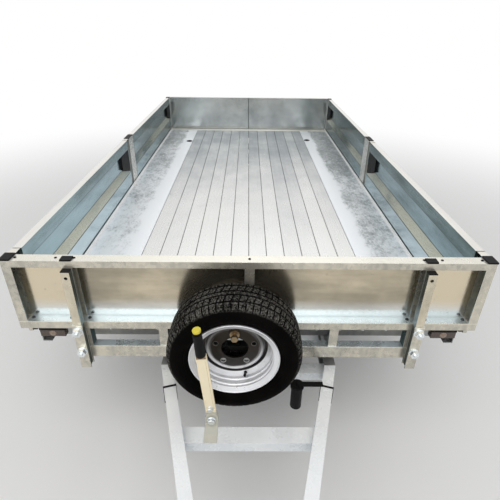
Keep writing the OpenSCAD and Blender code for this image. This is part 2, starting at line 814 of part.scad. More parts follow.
module hinge_bracket(foot) {
    rod_y([-knuckle_len / 2 - ear_gap - ear_t, knuckle_len / 2 + ear_gap + ear_t], 0, 0, hinge_pin_r);
    for (s = [-1, 1]) {
        y = s * (knuckle_len / 2 + ear_gap + ear_t / 2);
        rod_y([y - ear_t / 2, y + ear_t / 2], 0, 0, knuckle_r);
        span([-foot, 0], [y - ear_t / 2, y + ear_t / 2], [-knuckle_r, knuckle_r]);
    }
}

module hinge_knuckle() {
    difference() {
        union() {
            rod_y([-knuckle_len / 2, knuckle_len / 2], 0, 0, knuckle_r);
            span([-4, knuckle_r], [-knuckle_len / 2, knuckle_len / 2], [0, side_base - fold_z + 1]);
        }
        rod_y([-knuckle_len, knuckle_len], 0, 0, hinge_pin_r + run_fit);
    }
}

// Lengthwise limits of the dropsides: front pair, rear pair
side_y = [[head_d + rebate + side_fit, post_ys[0][0] - rebate - side_fit],
    [post_ys[0][1] + side_fit, post_ys[1][0] - side_fit]];
function hinge_ys(k) = [for (f = [0.12, 0.5, 0.88]) side_y[k][0] + f * (side_y[k][1] - side_y[k][0])];
tail_hinge_x = [-0.72 * half_w, 0, 0.72 * half_w];

module hinge_brackets() {
    color("silver") {
        both() for (k = [0, 1]) for (y = hinge_ys(k)) translate([fold_x, y, fold_z])
            hinge_bracket(fold_x - deck_x);
        for (x = tail_hinge_x) translate([x, fold_y, fold_z]) rotate(90) hinge_bracket(fold_y - tail_y + 8);
    }
}

// Rolled section of a dropside in (x, z): a top box, a set-back web and a lower box with a sloping shoulder
side_top_h = 70;
side_low_h = 147;
side_shoulder = 63;
web_in = 18;
web = in_x + web_in;
low = side_base + side_low_h;

module low_box() {
    polygon([[in_x, side_base], [half_w, side_base], [half_w, low], [web + sheet_t, low + side_shoulder],
        [web, low + side_shoulder], [in_x, low]]);
}

module side_section() {
    x = [in_x, half_w];
    difference() {
        rect(x, [top_z - side_top_h, top_z]);
        rect([x[0] + sheet_t, x[1] - sheet_t], [top_z - side_top_h + sheet_t, top_z - sheet_t]);
    }
    rect([web, web + sheet_t], [low, top_z - side_top_h + 1]);
    difference() {
        low_box();
        polygon([[x[0] + sheet_t, side_base + sheet_t], [x[1] - sheet_t, side_base + sheet_t],
            [x[1] - sheet_t, low - 2],
            [web + sheet_t, low + side_shoulder - 12], [web, low + side_shoulder - 12],
                [x[0] + sheet_t, low - 2]]);
    }
}

module dropside(side, k) {
    color("lightsteelblue") on_side(side) {
        along_y(side_y[k]) side_section();
        for (y = [side_y[k][0], side_y[k][1] - wall]) span([in_x, half_w], [y, y + wall],
            [side_base, top_z]);
        for (y = hinge_ys(k)) translate([fold_x, y, fold_z]) hinge_knuckle();
    }
}

// Latch boxes in the web's recess, deepest at the post, with a paddle outside. The rear sides have
// none at the middle post.
latch_len = 180;
latch_short = 58;
latch_h = 145;
latch_top = top_z - side_top_h - 4;
latch_low = [deck_z + 195, deck_z + 126];
paddle = [110, 84];

module latch(len) {
    difference() {
        along_x([in_x + 1, web]) polygon([[0, latch_low[1]], [0, latch_top], [len, latch_top],
            [len, latch_low[0]]]);
        along_y([-1, len + 1]) low_box();
    }
    span([web + sheet_t, half_w - 4], [12, 12 + paddle[0]], [latch_top - 10 - paddle[1], latch_top - 10]);
}

module latches(side, k) {
    color("black") on_side(side) {
        if (k == 0) translate([0, side_y[k][0] + wall + 4, 0]) latch(latch_short);
        translate([0, side_y[k][1] - wall - 4, 0]) mirror([0, 1, 0]) latch(latch_len);
    }
}

// Tailboard: flat inner sheets on a box frame, with a seam down the middle
tail_half = half_w - 2;
tail_post = 46;
tail_rail = 60;
tail_latch = 92;

module tailboard() {
    y = [tail_y, bed_len];
    inner = [tail_y + sheet_t, bed_len];
    color("lightsteelblue") {
        for (s = [-1, 1]) span([s < 0 ? -tail_half : 1, s < 0 ? -1 : tail_half],
            [tail_y, tail_y + sheet_t + 0.5], [side_base, top_z]);
        for (z = [[side_base, side_base + tail_rail], [top_z - tail_rail, top_z]]) difference() {
            span([-tail_half, tail_half], inner, z);
            span([-tail_half + wall, tail_half - wall], [inner[0] + wall, inner[1] - wall],
                [z[0] + wall, z[1] - wall]);
        }
        for (x = [-tail_half, -tail_half / 2 - tail_post / 2, -tail_post / 2,
            tail_half / 2 - tail_post / 2, tail_half - tail_post])
            span([x, x + tail_post], inner, [side_base + tail_rail - 2, top_z - tail_rail + 2]);
        for (x = tail_hinge_x) translate([x, fold_y, fold_z]) rotate(90) hinge_knuckle();
    }
}

module tailboard_latches() {
    z = top_z - tail_rail - latch_h - 20;
    x = tail_half - tail_post - tail_latch;
    color("black") both() span([x, x + tail_latch], [tail_y + sheet_t + 0.5, bed_len - 6], [z, z + latch_h]);
}

ram_back = 70;

module ram_bracket() {
    y = ram_y1 - ram_back;
    reach = beam_x - beam_w / 2;
    color("lightgray") {
        translate([-reach, y - 30, beam_base + 5]) rotate([90, 0, 90]) linear_extrude(2 * reach)
            tube2d(40, 50, wall);
        both() along_x([26, 36]) {
            translate([ram_y1, ram_z1]) circle(30);
            rect([y - 10, ram_y1], [ram_z1 - 25, ram_z1 + 24]);
        }
        rod_x([-36, 36], ram_y1, ram_z1, ram_pin_r);
    }
}

// Spare wheel on the headboard
spare_x = -58;
spare_z = deck_z + 24;
spare_y = -tyre_w / 2 - 8;

module at_spare() { translate([spare_x, spare_y, spare_z]) rotate([90, 0, 0]) children(); }

// The bracket stands on the headboard's ledge and reaches through the wheel to one bolt hole
carrier_half = 34;
carrier_z = [spare_z + 58, spare_z + 94];

module spare_carrier() {
    seat = spare_y - 2;
    x = [spare_x - carrier_half, spare_x + carrier_half];
    bolt_z = spare_z + bolt_pcd / 2;
    color("dimgray") {
        span(x, [seat, seat + 8], carrier_z);
        span(x, [0, 6], [head_rail_z[1], carrier_z[1]]);
        span(x, [0, sheet_y[0] - 4], [head_rail_z[1], head_rail_z[1] + 5]);
        for (side = [0, 1]) span([x[side] - side * 6, x[side] + 6 - side * 6], [seat + 7, 1], carrier_z);
        rod_y([seat - 40, seat + 1], spare_x, bolt_z, 8);
        translate([spare_x, seat - 34, bolt_z]) rotate([90, 0, 0]) cylinder(r = 15, h = 14, $fn = 6);
        rod_y([seat - 20, seat - 8], spare_x, bolt_z, 20);
    }
}

// Telescopic ram, drawn upright from its trunnions and leant to its rest pose
ram_r = [55, 46, 37, 28];
ram_low = [-128, -110, -105, -100];
ram_head = [150, 162, 174, 188];

module at_ram() { translate([0, ram_y0, ram_z0]) rotate([ram_lean, 0, 0]) children(); }

module ram_tube(i) {
    difference() {
        union() {
            rod_z([ram_low[i], ram_head[i]], 0, 0, ram_r[i]);
            if (i == 0) {
                rod_z([ram_head[i] - 26, ram_head[i]], 0, 0, ram_r[i] + 4);
                rod_x([-ram_r[0] - 29, ram_r[0] + 29], 0, 0, trunnion_r);
            }
        }
        rod_z([ram_low[i] + (i == 0 ? 14 : -1), ram_head[i] + 1], 0, 0, ram_r[i + 1] + run_fit);
    }
}

module ram_barrel() { color("dimgray") at_ram() ram_tube(0); }
module ram_stage_one() { color("silver") at_ram() ram_tube(1); }
module ram_stage_two() { color("silver") at_ram() ram_tube(2); }

module ram_rod() {
    color("silver") at_ram() difference() {
        union() {
            rod_z([ram_low[3], ram_head[3] + 24], 0, 0, ram_r[3]);
            along_x([-20, 20]) {
                bar2d([0, ram_shut], [0, ram_shut + ram_drift], ram_pin_r + 13);
                rect([-ram_r[3] + 4, ram_r[3] - 4], [ram_head[3] + 10, ram_shut]);
            }
        }
        along_x([-30, 30]) bar2d([0, ram_shut], [0, ram_shut + ram_drift], ram_pin_r + 1);
    }
}

// Placing of every node

placed() chassis_rails();
placed() chassis_crossmembers();
placed() ram_cradle();
placed() drawbar();
placed() coupling_body();
placed() coupling_gaiter();
placed() coupling_head();
placed() handbrake_lever();
placed() handbrake_grip();
placed() axles();
placed() bed_pads();
placed() hydraulic_pack();
placed() rear_light_bar();
placed() rear_lamps();
placed() parked_plug();
placed() jockey_sleeve();
placed() jockey_leg();
placed() jockey_fork();
placed() jockey_wheel();
placed() at_wheel(-1, 0) tyre();  // tyre_front_left
placed() at_wheel(-1, 0) road_wheel();  // rim_front_left
placed() at_wheel(1, 0) tyre();  // tyre_front_right
placed() at_wheel(1, 0) road_wheel();  // rim_front_right
placed() at_wheel(-1, 1) tyre();  // tyre_rear_left
placed() at_wheel(-1, 1) road_wheel();  // rim_rear_left
placed() at_wheel(1, 1) tyre();  // tyre_rear_right
placed() at_wheel(1, 1) road_wheel();  // rim_rear_right
placed() bed_beams();
placed() bed_bearers();
placed() bed_edge_rails();
placed() front_frame();
placed() deck_planks();
placed() deck_margins();
placed() headboard_frame();
placed() headboard_sheet();
placed() ladder_posts();
placed() clamp_bolts();
placed() post_caps();
placed() front_markers();
placed() side_posts();
placed() hinge_brackets();
placed() ram_bracket();
placed() spare_carrier();
placed() at_spare() spare_wheel_rim();  // spare_rim
placed() at_spare() tyre();  // spare_tyre
placed() dropside(-1, 0);  // dropside_front_left
placed() latches(-1, 0);  // latches_front_left
placed() dropside(1, 0);  // dropside_front_right
placed() latches(1, 0);  // latches_front_right
placed() dropside(-1, 1);  // dropside_rear_left
placed() latches(-1, 1);  // latches_rear_left
placed() dropside(1, 1);  // dropside_rear_right
placed() latches(1, 1);  // latches_rear_right
placed() tailboard();
placed() tailboard_latches();
placed() ram_barrel();
placed() ram_stage_one();
placed() ram_stage_two();
placed() ram_rod();
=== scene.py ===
"""Looks of a tipping dropside trailer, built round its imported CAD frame.

Lengths are metres in the CAD frame: X across, +Y to the rear, Z up, the ground at 0.
"""

from __future__ import annotations

import json
import logging
import math
from dataclasses import dataclass
from enum import Enum
from typing import Any, Optional, Sequence, Union

import bmesh
import bpy
from mathutils import Matrix, Vector

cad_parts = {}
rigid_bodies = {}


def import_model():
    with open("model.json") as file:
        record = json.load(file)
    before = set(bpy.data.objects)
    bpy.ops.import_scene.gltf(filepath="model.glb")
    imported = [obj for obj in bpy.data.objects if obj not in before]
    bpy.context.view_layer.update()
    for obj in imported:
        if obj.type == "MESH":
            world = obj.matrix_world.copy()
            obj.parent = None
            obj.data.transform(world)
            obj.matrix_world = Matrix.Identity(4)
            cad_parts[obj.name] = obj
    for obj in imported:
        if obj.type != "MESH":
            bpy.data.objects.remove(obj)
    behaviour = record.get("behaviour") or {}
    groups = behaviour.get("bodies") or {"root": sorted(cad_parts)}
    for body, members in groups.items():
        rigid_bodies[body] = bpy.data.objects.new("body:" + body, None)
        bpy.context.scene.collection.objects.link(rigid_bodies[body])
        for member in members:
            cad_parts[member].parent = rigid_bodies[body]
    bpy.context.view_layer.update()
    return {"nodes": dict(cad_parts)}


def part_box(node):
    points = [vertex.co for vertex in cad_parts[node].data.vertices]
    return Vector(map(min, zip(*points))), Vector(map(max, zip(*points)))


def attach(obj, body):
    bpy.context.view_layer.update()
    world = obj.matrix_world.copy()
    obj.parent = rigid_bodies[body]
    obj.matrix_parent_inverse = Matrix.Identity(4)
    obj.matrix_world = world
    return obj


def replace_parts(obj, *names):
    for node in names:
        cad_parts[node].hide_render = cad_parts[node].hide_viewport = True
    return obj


log = logging.getLogger("trailer")

Colour = tuple[float, float, float]
Point = tuple[float, float, float]
Band = tuple[float, float]
PICTURE = 500.0
# Sign of X on each side, Y and Z of the axles, and the middle of the spare wheel
SIDES = {"left": -1.0, "right": 1.0}
WHEEL_YS = {"front": 0.584, "rear": 1.204}
AXLE_Z = 0.276
SPARE_HUB: Point = (-0.058, -1.2085, 0.744)
UP: Point = (0.0, 0.0, 1.0)
AHEAD: Point = (0.0, -1.0, 0.0)
EVEN: Point = (1.0, 1.0, 1.0)
# How far a face turns up, sideways or down before it counts as doing so
UP_TURN: Band = (0.55, 0.9)
SIDE_TURN: Band = (0.6, 0.9)
DOWN_TURN: Band = (0.0, 0.75)
# A band of a value that lies outside every surface, to leave a mark out
NOWHERE: Band = (-2.0, -1.0)
# Largest angles between faces that shade smoothly, in radians
CRISP = 0.4
FIRM = 0.5
EASY = 0.6
MILD = 0.7
ROUND = 1.0


class Body(str, Enum):
    """Bodies of the CAD frame that carry pieces, apart from wheels and sides."""

    CHASSIS = "chassis"
    BED = "bed"
    TAILBOARD = "tailboard"


class Slot(str, Enum):
    """Material slots of the record."""

    ZINC = "galvanised"
    SHEET = "galvanised_sheet"
    PLASTIC = "black_plastic"
    TYRE = "tyre_rubber"
    SILVER = "silver_paint"
    RUBBER = "rubber"
    CAST = "cast_grey"
    MARKER = "marker_lens"
    RED = "red_lens"
    DARK = "dark_paint"
    STEEL = "bright_steel"


class Wire:
    """A shader socket that takes part in Python sums."""

    def __init__(self, shader: Shader, socket: Optional[bpy.types.NodeSocket]) -> None:
        """Keeps a socket and the shader it belongs to.

        Args:
            shader: The shader that gets the new nodes.
            socket: The output socket to wrap, or none for a node that ends the tree.
        """
        self.shader = shader
        self.socket = socket

    def _sum(self, operation: str, first: Value, second: Value) -> Wire:
        """Adds one Math node.

        Args:
            operation: The Math node's operation.
            first: Its first value.
            second: Its second value.

        Returns:
            The result's wire.
        """
        return self.shader.make("ShaderNodeMath", {"operation": operation}, {0: first, 1: second})

    def __add__(self, other: Value) -> Wire:
        """This plus other."""
        return self._sum("ADD", self, other)

    def __radd__(self, other: Value) -> Wire:
        """Other plus this."""
        return self._sum("ADD", other, self)

    def __sub__(self, other: Value) -> Wire:
        """This less other."""
        return self._sum("SUBTRACT", self, other)

    def __rsub__(self, other: Value) -> Wire:
        """Other less this."""
        return self._sum("SUBTRACT", other, self)

    def __mul__(self, other: Value) -> Wire:
        """This times other."""
        return self._sum("MULTIPLY", self, other)

    def __rmul__(self, other: Value) -> Wire:
        """Other times this."""
        return self._sum("MULTIPLY", other, self)

    def __truediv__(self, other: Value) -> Wire:
        """This over other."""
        return self._sum("DIVIDE", self, other)

    def __rtruediv__(self, other: Value) -> Wire:
        """Other over this."""
        return self._sum("DIVIDE", other, self)

    def __abs__(self) -> Wire:
        """This without its sign."""
        return self._sum("ABSOLUTE", self, 0.0)

    def floor(self) -> Wire:
        """The whole number below this."""
        return self._sum("FLOOR", self, 0.0)

    def rise(self, low: float, high: float) -> Wire:
        """A smooth step of this value.

        Args:
            low: Where the step starts, at 0.
            high: Where it ends, at 1.

        Returns:
            The step's wire, from 0 to 1.
        """
        return self.shader.make("ShaderNodeMapRange", {"interpolation_type": "SMOOTHSTEP"},
                                {0: self, 1: low, 2: high, 3: 0.0, 4: 1.0})

    def band(self, low: float, high: float, soft: float) -> Wire:
        """A band of this value.

        Args:
            low: Where the band starts.
            high: Where it ends.
            soft: Half width of its soft ends.

        Returns:
            The band's wire, 1 inside.
        """
        return self.rise(low - soft, low + soft) * (1.0 - self.rise(high - soft, high + soft))


Value = Union[Wire, float]


class Shader:
    """The nodes of one material or world under construction."""

    def __init__(self, holder: Union[bpy.types.Material, bpy.types.World]) -> None:
        """Starts with no nodes.

        Args:
            holder: The material or world that gets the nodes.
        """
        holder.use_nodes = True
        self.tree = holder.node_tree
        self.tree.nodes.clear()

    def make(self, kind: str, settings: Optional[dict[str, Any]] = None,
             values: Optional[dict[Any, Any]] = None, out: Union[int, str] = 0) -> Wire:
        """Adds a node, its settings first and then its sockets.

        Args:
            kind: The node's type.
            settings: Properties of the node.
            values: Values or wires by socket name or number.
            out: The output to wrap.

        Returns:
            The wire of that output.
        """
        node = self.tree.nodes.new(kind)
        for key, setting in (settings or {}).items():
            setattr(node, key, setting)
        for key, value in (values or {}).items():
            if isinstance(value, Wire):
                self.tree.links.new(value.socket, node.inputs[key])
            elif isinstance(value, tuple) and len(value) == 3 and node.inputs[key].type == "RGBA":
                node.inputs[key].default_value = (*value, 1.0)
            else:
                node.inputs[key].default_value = value
        return Wire(self, node.outputs[out] if node.outputs else None)

    def place(self, stretch: Point = EVEN) -> Wire:
        """The place on the object in metres, stretched along the axes.

        Args:
            stretch: Factors along X, Y and Z.

        Returns:
            The vector's wire.
        """
        spot = self.make("ShaderNodeTexCoord", out="Object")
        return self.make("ShaderNodeVectorMath", {"operation": "MULTIPLY"}, {0: spot, 1: stretch})

    def axis(self, name: str) -> Wire:
        """One coordinate of the place, X, Y or Z, in metres."""
        return self.make("ShaderNodeSeparateXYZ", values={0: self.place()}, out=name)

    def noise(self, scale: float, stretch: Point = EVEN, detail: float = 4.0, rough: float = 0.55) -> Wire:
        """Cloudy noise around a half.

        Args:
            scale: Clouds per metre.
            stretch: Factors along the axes.
            detail: Octaves.
            rough: Share that each octave keeps.

        Returns:
            The noise's wire.
        """
        return self.make("ShaderNodeTexNoise", values={
            "Vector": self.place(stretch), "Scale": scale, "Detail": detail, "Roughness": rough})

    def cells(self, scale: float) -> Wire:
        """A random value for each crystal of a zinc coat.

        Args:
            scale: Crystals per metre.

        Returns:
            The value's wire, from 0 to 1.
        """
        cell = self.make("ShaderNodeTexVoronoi", values={"Vector": self.place(), "Scale": scale}, out="Color")
        return self.make("ShaderNodeSeparateColor", values={0: cell})

    def mix(self, share: Value, low: Union[Wire, Colour], high: Union[Wire, Colour]) -> Wire:
        """A colour between two.

        Args:
            share: Share of the second colour.
            low: The first colour.
            high: The second colour.

        Returns:
            The colour's wire.
        """
        return self.make("ShaderNodeMix", {"data_type": "RGBA"}, {0: share, 6: low, 7: high}, out=2)

    def turn(self, name: str) -> Wire:
        """One part, X, Y or Z, of a face's direction in its own body's frame."""
        way = self.make("ShaderNodeTexCoord", out="Normal")
        return self.make("ShaderNodeSeparateXYZ", values={0: way}, out=name)

    def upward(self) -> Wire:
        """How far a face looks up, from 0 to 1."""
        return self.turn("Z").rise(*UP_TURN)

    def sideways(self) -> Wire:
        """How far a face looks to either side, from 0 to 1."""
        return abs(self.turn("X")).rise(*SIDE_TURN)

    def downward(self) -> Wire:
        """How far a face looks down, from 0 to 1."""
        return (0.0 - self.turn("Z")).rise(*DOWN_TURN)

    def radius(self, hub: Point, axle: str) -> Wire:
        """Distance from a wheel's axle.

        Args:
            hub: Any point of the axle.
            axle: Axis along which it runs, X or Y.

        Returns:
            The distance's wire, in metres.
        """
        across = {"X": (0.0, 1.0, 1.0), "Y": (1.0, 0.0, 1.0)}[axle]
        shift = tuple(-h * a for h, a in zip(hub, across))
        spot = self.make("ShaderNodeVectorMath", {"operation": "ADD"}, {0: self.place(across), 1: shift})
        return self.make("ShaderNodeVectorMath", {"operation": "LENGTH"}, {0: spot}, out="Value")

    def hollows(self, reach: float) -> Wire:
        """How deep a place lies in a corner, from 0 in the open.

        Args:
            reach: Distance of the walls that count.

        Returns:
            The value's wire.
        """
        return 1.0 - self.make("ShaderNodeAmbientOcclusion", {"samples": 4}, {"Distance": reach}, out="AO")

    def relief(self, height: Wire, depth: float, edge: float = 0.0015) -> Wire:
        """Normals of a fine relief on slightly rounded edges.

        Args:
            height: The relief, from 0 to 1.
            depth: Its depth in metres.
            edge: Radius of the rounded edges.

        Returns:
            The normal's wire.
        """
        soft = self.make("ShaderNodeBevel", {"samples": 4}, {"Radius": edge})
        return self.make("ShaderNodeBump", values={
            "Strength": 1.0, "Distance": depth, "Height": height, "Normal": soft})

    def surface(self, colour: Union[Wire, Colour], rough: Value, metal: Value = 0.0,
                normal: Optional[Wire] = None, **fixed: Value) -> None:
        """Ends the material in a Principled surface.

        Args:
            colour: Base colour.
            rough: Roughness.
            metal: Metallic share.
            normal: Normal, if there is a relief.
            fixed: Other sockets by name, with _ for spaces.
        """
        values: dict[Any, Any] = {"Base Color": colour, "Roughness": rough, "Metallic": metal}
        if normal is not None:
            values["Normal"] = normal
        for key, value in fixed.items():
            values[key.replace("_", " ")] = value
        shade = self.make("ShaderNodeBsdfPrincipled", values=values)
        self.make("ShaderNodeOutputMaterial", values={"Surface": shade})


@dataclass(frozen=True)
class Finish:
    """A finish of the trailer; each kind paints its own shader."""

    name: str
    slot: Slot

    def paint(self, shader: Shader) -> None:
        """Builds the nodes of this finish in shader."""
        raise NotImplementedError

    def material(self) -> bpy.types.Material:
        """The finish's material, made on its first use."""
        found = bpy.data.materials.get(self.name)
        if found is None:
            found = bpy.data.materials.new(self.name)
            self.paint(Shader(found))
        return found


@dataclass(frozen=True)
class Zinc(Finish):
    """Zinc-coated steel with faint crystals, dull clouds and run marks, painted highlights on upper faces and
    edges, soiling and painted shade in hollows, painted shade on flanks, and a painted shadow behind the
    spare wheel.
    """

    tone: Colour = (0.62, 0.63, 0.62)
    deep: Colour = (0.36, 0.38, 0.39)
    # Colour of upper faces, a painted highlight
    top: Colour = (0.86, 0.83, 0.77)
    crystals: float = 60.0
    runs: Point = (9.0, 9.0, 1.6)
    flakes: float = 0.10
    sheen: float = 0.30
    metal: float = 0.75
    # Share of soiling and painted shade in hollows
    grime_and_shade: float = 0.55
    # Share of that painted highlight, and its bluer colour low down on the ledge below a height
    top_light: float = 0.8
    shelf_light: Colour = (0.70, 0.785, 0.825)
    shelf_light_top: float = -1.0
    # Painted shade on faces that look sideways, its share, and a paler painted reflection of the ledge at
    # their foot
    flank_shade: Colour = (0.08, 0.135, 0.14)
    flank_shade_share: float = 0.0
    foot: Colour = (0.36, 0.48, 0.53)
    # Colour of the soiling and painted shade in hollows
    soil_and_shade: Colour = (0.10, 0.095, 0.085)
    # Colour of the painted shadow behind the spare wheel
    painted_shade: Colour = (0.004, 0.004, 0.004)
    # X, Z and radius of a painted shadow behind the spare wheel, if it has one
    spare_shadow: Point = (0.0, 0.0, 0.0)
    # Heights of painted highlight lines just below top edges, and of dark cuts
    highlight_heights: tuple[float, ...] = ()
    cuts: tuple[float, ...] = ()
    # Colours of the painted highlight lines and of the cuts
    highlight_tone: Colour = (0.95, 0.90, 0.78)
    cut_tone: Colour = (0.015, 0.018, 0.025)
    # Start and end of an edge's painted highlight line from its height, half height of a cut, and their soft
    # ends
    highlight_reach: Band = (-0.0035, 0.0005)
    highlight_soft: float = 0.0008
    cut_half: float = 0.0016
    cut_soft: float = 0.0006
    # Heights between which the sideways faces take that painted reflection of the ledge
    foot_z: Band = (0.785, 0.95)
    ledge_z: Band = (0.772, 0.784)

    def paint(self, shader: Shader) -> None:
        """Builds crystals, clouds, run marks, the painted highlight on upper faces, painted shade on flanks,
        painted highlight lines at edges, cuts, soiling and painted shade in hollows, and the painted shadow
        behind the spare wheel.
        """
        flake = shader.cells(self.crystals)
        cloud = shader.noise(3.2, detail=6.0, rough=0.62)
        run = shader.noise(4.0, self.runs, 5.0)
        grain = shader.noise(90.0, detail=3.0)
        share = 0.50 + (cloud - 0.5) * 1.5 + (run - 0.5) * 0.8
        share = share + (flake - 0.5) * self.flakes + (grain - 0.5) * 0.12
        colour = shader.mix(share.rise(0.0, 1.0), self.deep, self.tone)
        # Upper faces take a painted highlight, bluer low down on the ledge
        scale = (cloud * 0.6 + run * 0.4).rise(0.28, 0.52)
        height = shader.axis("Z")
        top: Union[Wire, Colour] = self.top
        if self.shelf_light_top > 0.0:
            above = height.rise(self.shelf_light_top - 0.02, self.shelf_light_top + 0.02)
            top = shader.mix(above, self.shelf_light, self.top)
        upward = shader.upward()
        colour = shader.mix(upward * self.top_light * (0.6 + scale * 0.4), colour, top)
        metal: Value = self.metal
        # Faces that look sideways are painted dark teal, a painted shade, paler just above the ledge, a
        # painted reflection
        if self.flank_shade_share > 0.0:
            foot = (1.0 - height.rise(*self.foot_z)) * height.rise(*self.ledge_z)
            flank_shade = shader.mix(foot * (0.45 + run * 0.6), self.flank_shade, self.foot)
            side = (shader.sideways() * self.flank_shade_share * (0.75 + run * 0.4)).rise(0.0, 0.95)
            colour = shader.mix(side, colour, flank_shade)
            metal = self.metal - side * 0.6
        # Thin painted highlight lines just below edges
        for edge in self.highlight_heights:
            start, end = (edge + reach for reach in self.highlight_reach)
            line = (height + (grain - 0.5) * 0.002).band(start, end, self.highlight_soft)
            colour = shader.mix(line * (1.0 - upward) * 0.6, colour, self.highlight_tone)
        for cut in self.cuts:
            line = height.band(cut - self.cut_half, cut + self.cut_half, self.cut_soft)
            colour = shader.mix(line * (1.0 - upward) * 0.85, colour, self.cut_tone)
        # Hollows get soiling and painted shade
        dirt_and_shade = shader.hollows(0.035) * (0.4 + run * 0.9) * self.grime_and_shade
        colour = shader.mix(dirt_and_shade.rise(0.08, 0.8), colour, self.soil_and_shade)
        # A painted shadow on what lies behind the spare wheel
        x, z, reach = self.spare_shadow
        if reach > 0.0:
            away = shader.radius((x, 0.0, z), "Y") + (cloud - 0.5) * 0.05
            near = 1.0 - away.rise(reach * 0.7, reach)
            colour = shader.mix(near * 0.97, colour, self.painted_shade)
        rough = self.sheen + (cloud - 0.5) * 0.24 - flake * 0.04 + dirt_and_shade * 0.3
        normal = shader.relief(flake * 0.2 + grain * 0.35 + run * 0.5, 0.0004)
        shader.surface(colour, rough, metal, normal)


@dataclass(frozen=True)
class Bright(Finish):
    """Bright rolled sheet that mirrors softly, with drawn lines, smears and small specks, a painted
    reflection of the ledge along its foot, and painted shade in folds and corners.
    """

    # Warm beige tone, partly painted warm light on the sheet
    tone: Colour = (0.76, 0.665, 0.50)
    dull: Colour = (0.35, 0.315, 0.245)
    # Colour and heights of a painted reflection of the ledge along the foot
    foot: Colour = (0.80, 0.84, 0.85)
    foot_z: Band = (0.795, 0.885)
    bay: Band = (0.74, 0.80)
    sheen: float = 0.18
    drawn: Point = (3.0, 3.0, 30.0)
    # Share and colour of the soiling and painted shade in folds and corners
    soil_and_shade: float = 0.35
    soil_and_shade_tone: Colour = (0.05, 0.058, 0.058)
    speck_tone: Colour = (0.25, 0.23, 0.20)
    metal: float = 0.9

    def paint(self, shader: Shader) -> None:
        """Builds drawn lines, smears, bright outer bays, the painted reflection along the foot, specks, and
        soiling and painted shade in the folds.
        """
        smear = shader.noise(2.1, (1.0, 1.0, 1.6), 6.0, 0.6)
        line = shader.noise(1.0, self.drawn, 4.0)
        speck = shader.noise(70.0, detail=2.0).rise(0.70, 0.76)
        bay = abs(shader.axis("X")).rise(*self.bay)
        share = 0.68 + (smear - 0.5) * 1.9 + (line - 0.5) * 0.5 - bay * 0.75
        colour = shader.mix(share.rise(0.0, 1.0), self.tone, self.dull)
        # A pale band along the foot, a painted reflection of the ledge
        foot = 1.0 - (shader.axis("Z") + (smear - 0.5) * 0.05).rise(*self.foot_z)
        colour = shader.mix(foot * 0.9, colour, self.foot)
        colour = shader.mix(speck * 0.4, colour, self.speck_tone)
        # Folds and corners get soiling and painted shade
        dirt_and_shade = shader.hollows(0.03) * (0.3 + smear)
        colour = shader.mix(dirt_and_shade.rise(0.15, 0.8) * self.soil_and_shade, colour, self.soil_and_shade_tone)
        rough = self.sheen + (smear - 0.5) * 0.16 + (line - 0.5) * 0.06
        shader.surface(colour, rough, self.metal, shader.relief(smear * 0.8 + line * 0.2, 0.0005))


@dataclass(frozen=True)
class Planks(Finish):
    """Bright deck planks that mirror along their length, each of its own tone, scuffed and stained."""

    pitch: float = 0.104
    tone: Colour = (0.80, 0.80, 0.78)
    worn: Colour = (0.32, 0.345, 0.37)
    speck_tone: Colour = (0.2, 0.19, 0.17)
    edge_tone: Colour = (0.16, 0.155, 0.145)
    run: Band = (-1.0, 2.7)

    def paint(self, shader: Shader) -> None:
        """Builds each plank's tone, scuffs along Y, stains, dark specks and dull edges."""
        across = shader.axis("X") / self.pitch
        own = shader.make("ShaderNodeTexWhiteNoise", {"noise_dimensions": "1D"}, {"W": across.floor()})
        scuff = shader.noise(1.0, (48.0, 1.6, 20.0), 4.0, 0.5)
        blot = shader.noise(3.4, (1.0, 0.8, 1.0), 8.0, 0.68)
        chalk = shader.noise(22.0, (1.0, 0.6, 1.0), 5.0, 0.7)
        speck = shader.noise(34.0, (1.0, 0.5, 1.0), 3.0).rise(0.68, 0.74)
        rear = shader.axis("Y").rise(*self.run)
        wear = 0.05 + rear * 0.78 + (own - 0.5) * 0.20 + (scuff - 0.5) * 0.12
        wear = wear + (blot - 0.5) * (0.40 + rear * 0.8) + (chalk - 0.5) * 0.06
        colour = shader.mix(wear.rise(0.0, 1.0), self.tone, self.worn)
        colour = shader.mix(speck * 0.6 * blot.rise(0.4, 0.7), colour, self.speck_tone)
        edge = abs(across - across.floor() - 0.5)
        colour = shader.mix(edge.rise(0.44, 0.50) * 0.32, colour, self.edge_tone)
        rough = 0.25 + (scuff - 0.5) * 0.20 + wear * 0.12
        shader.surface(colour, rough, 0.7, shader.relief(scuff + chalk * 0.2, 0.00008))


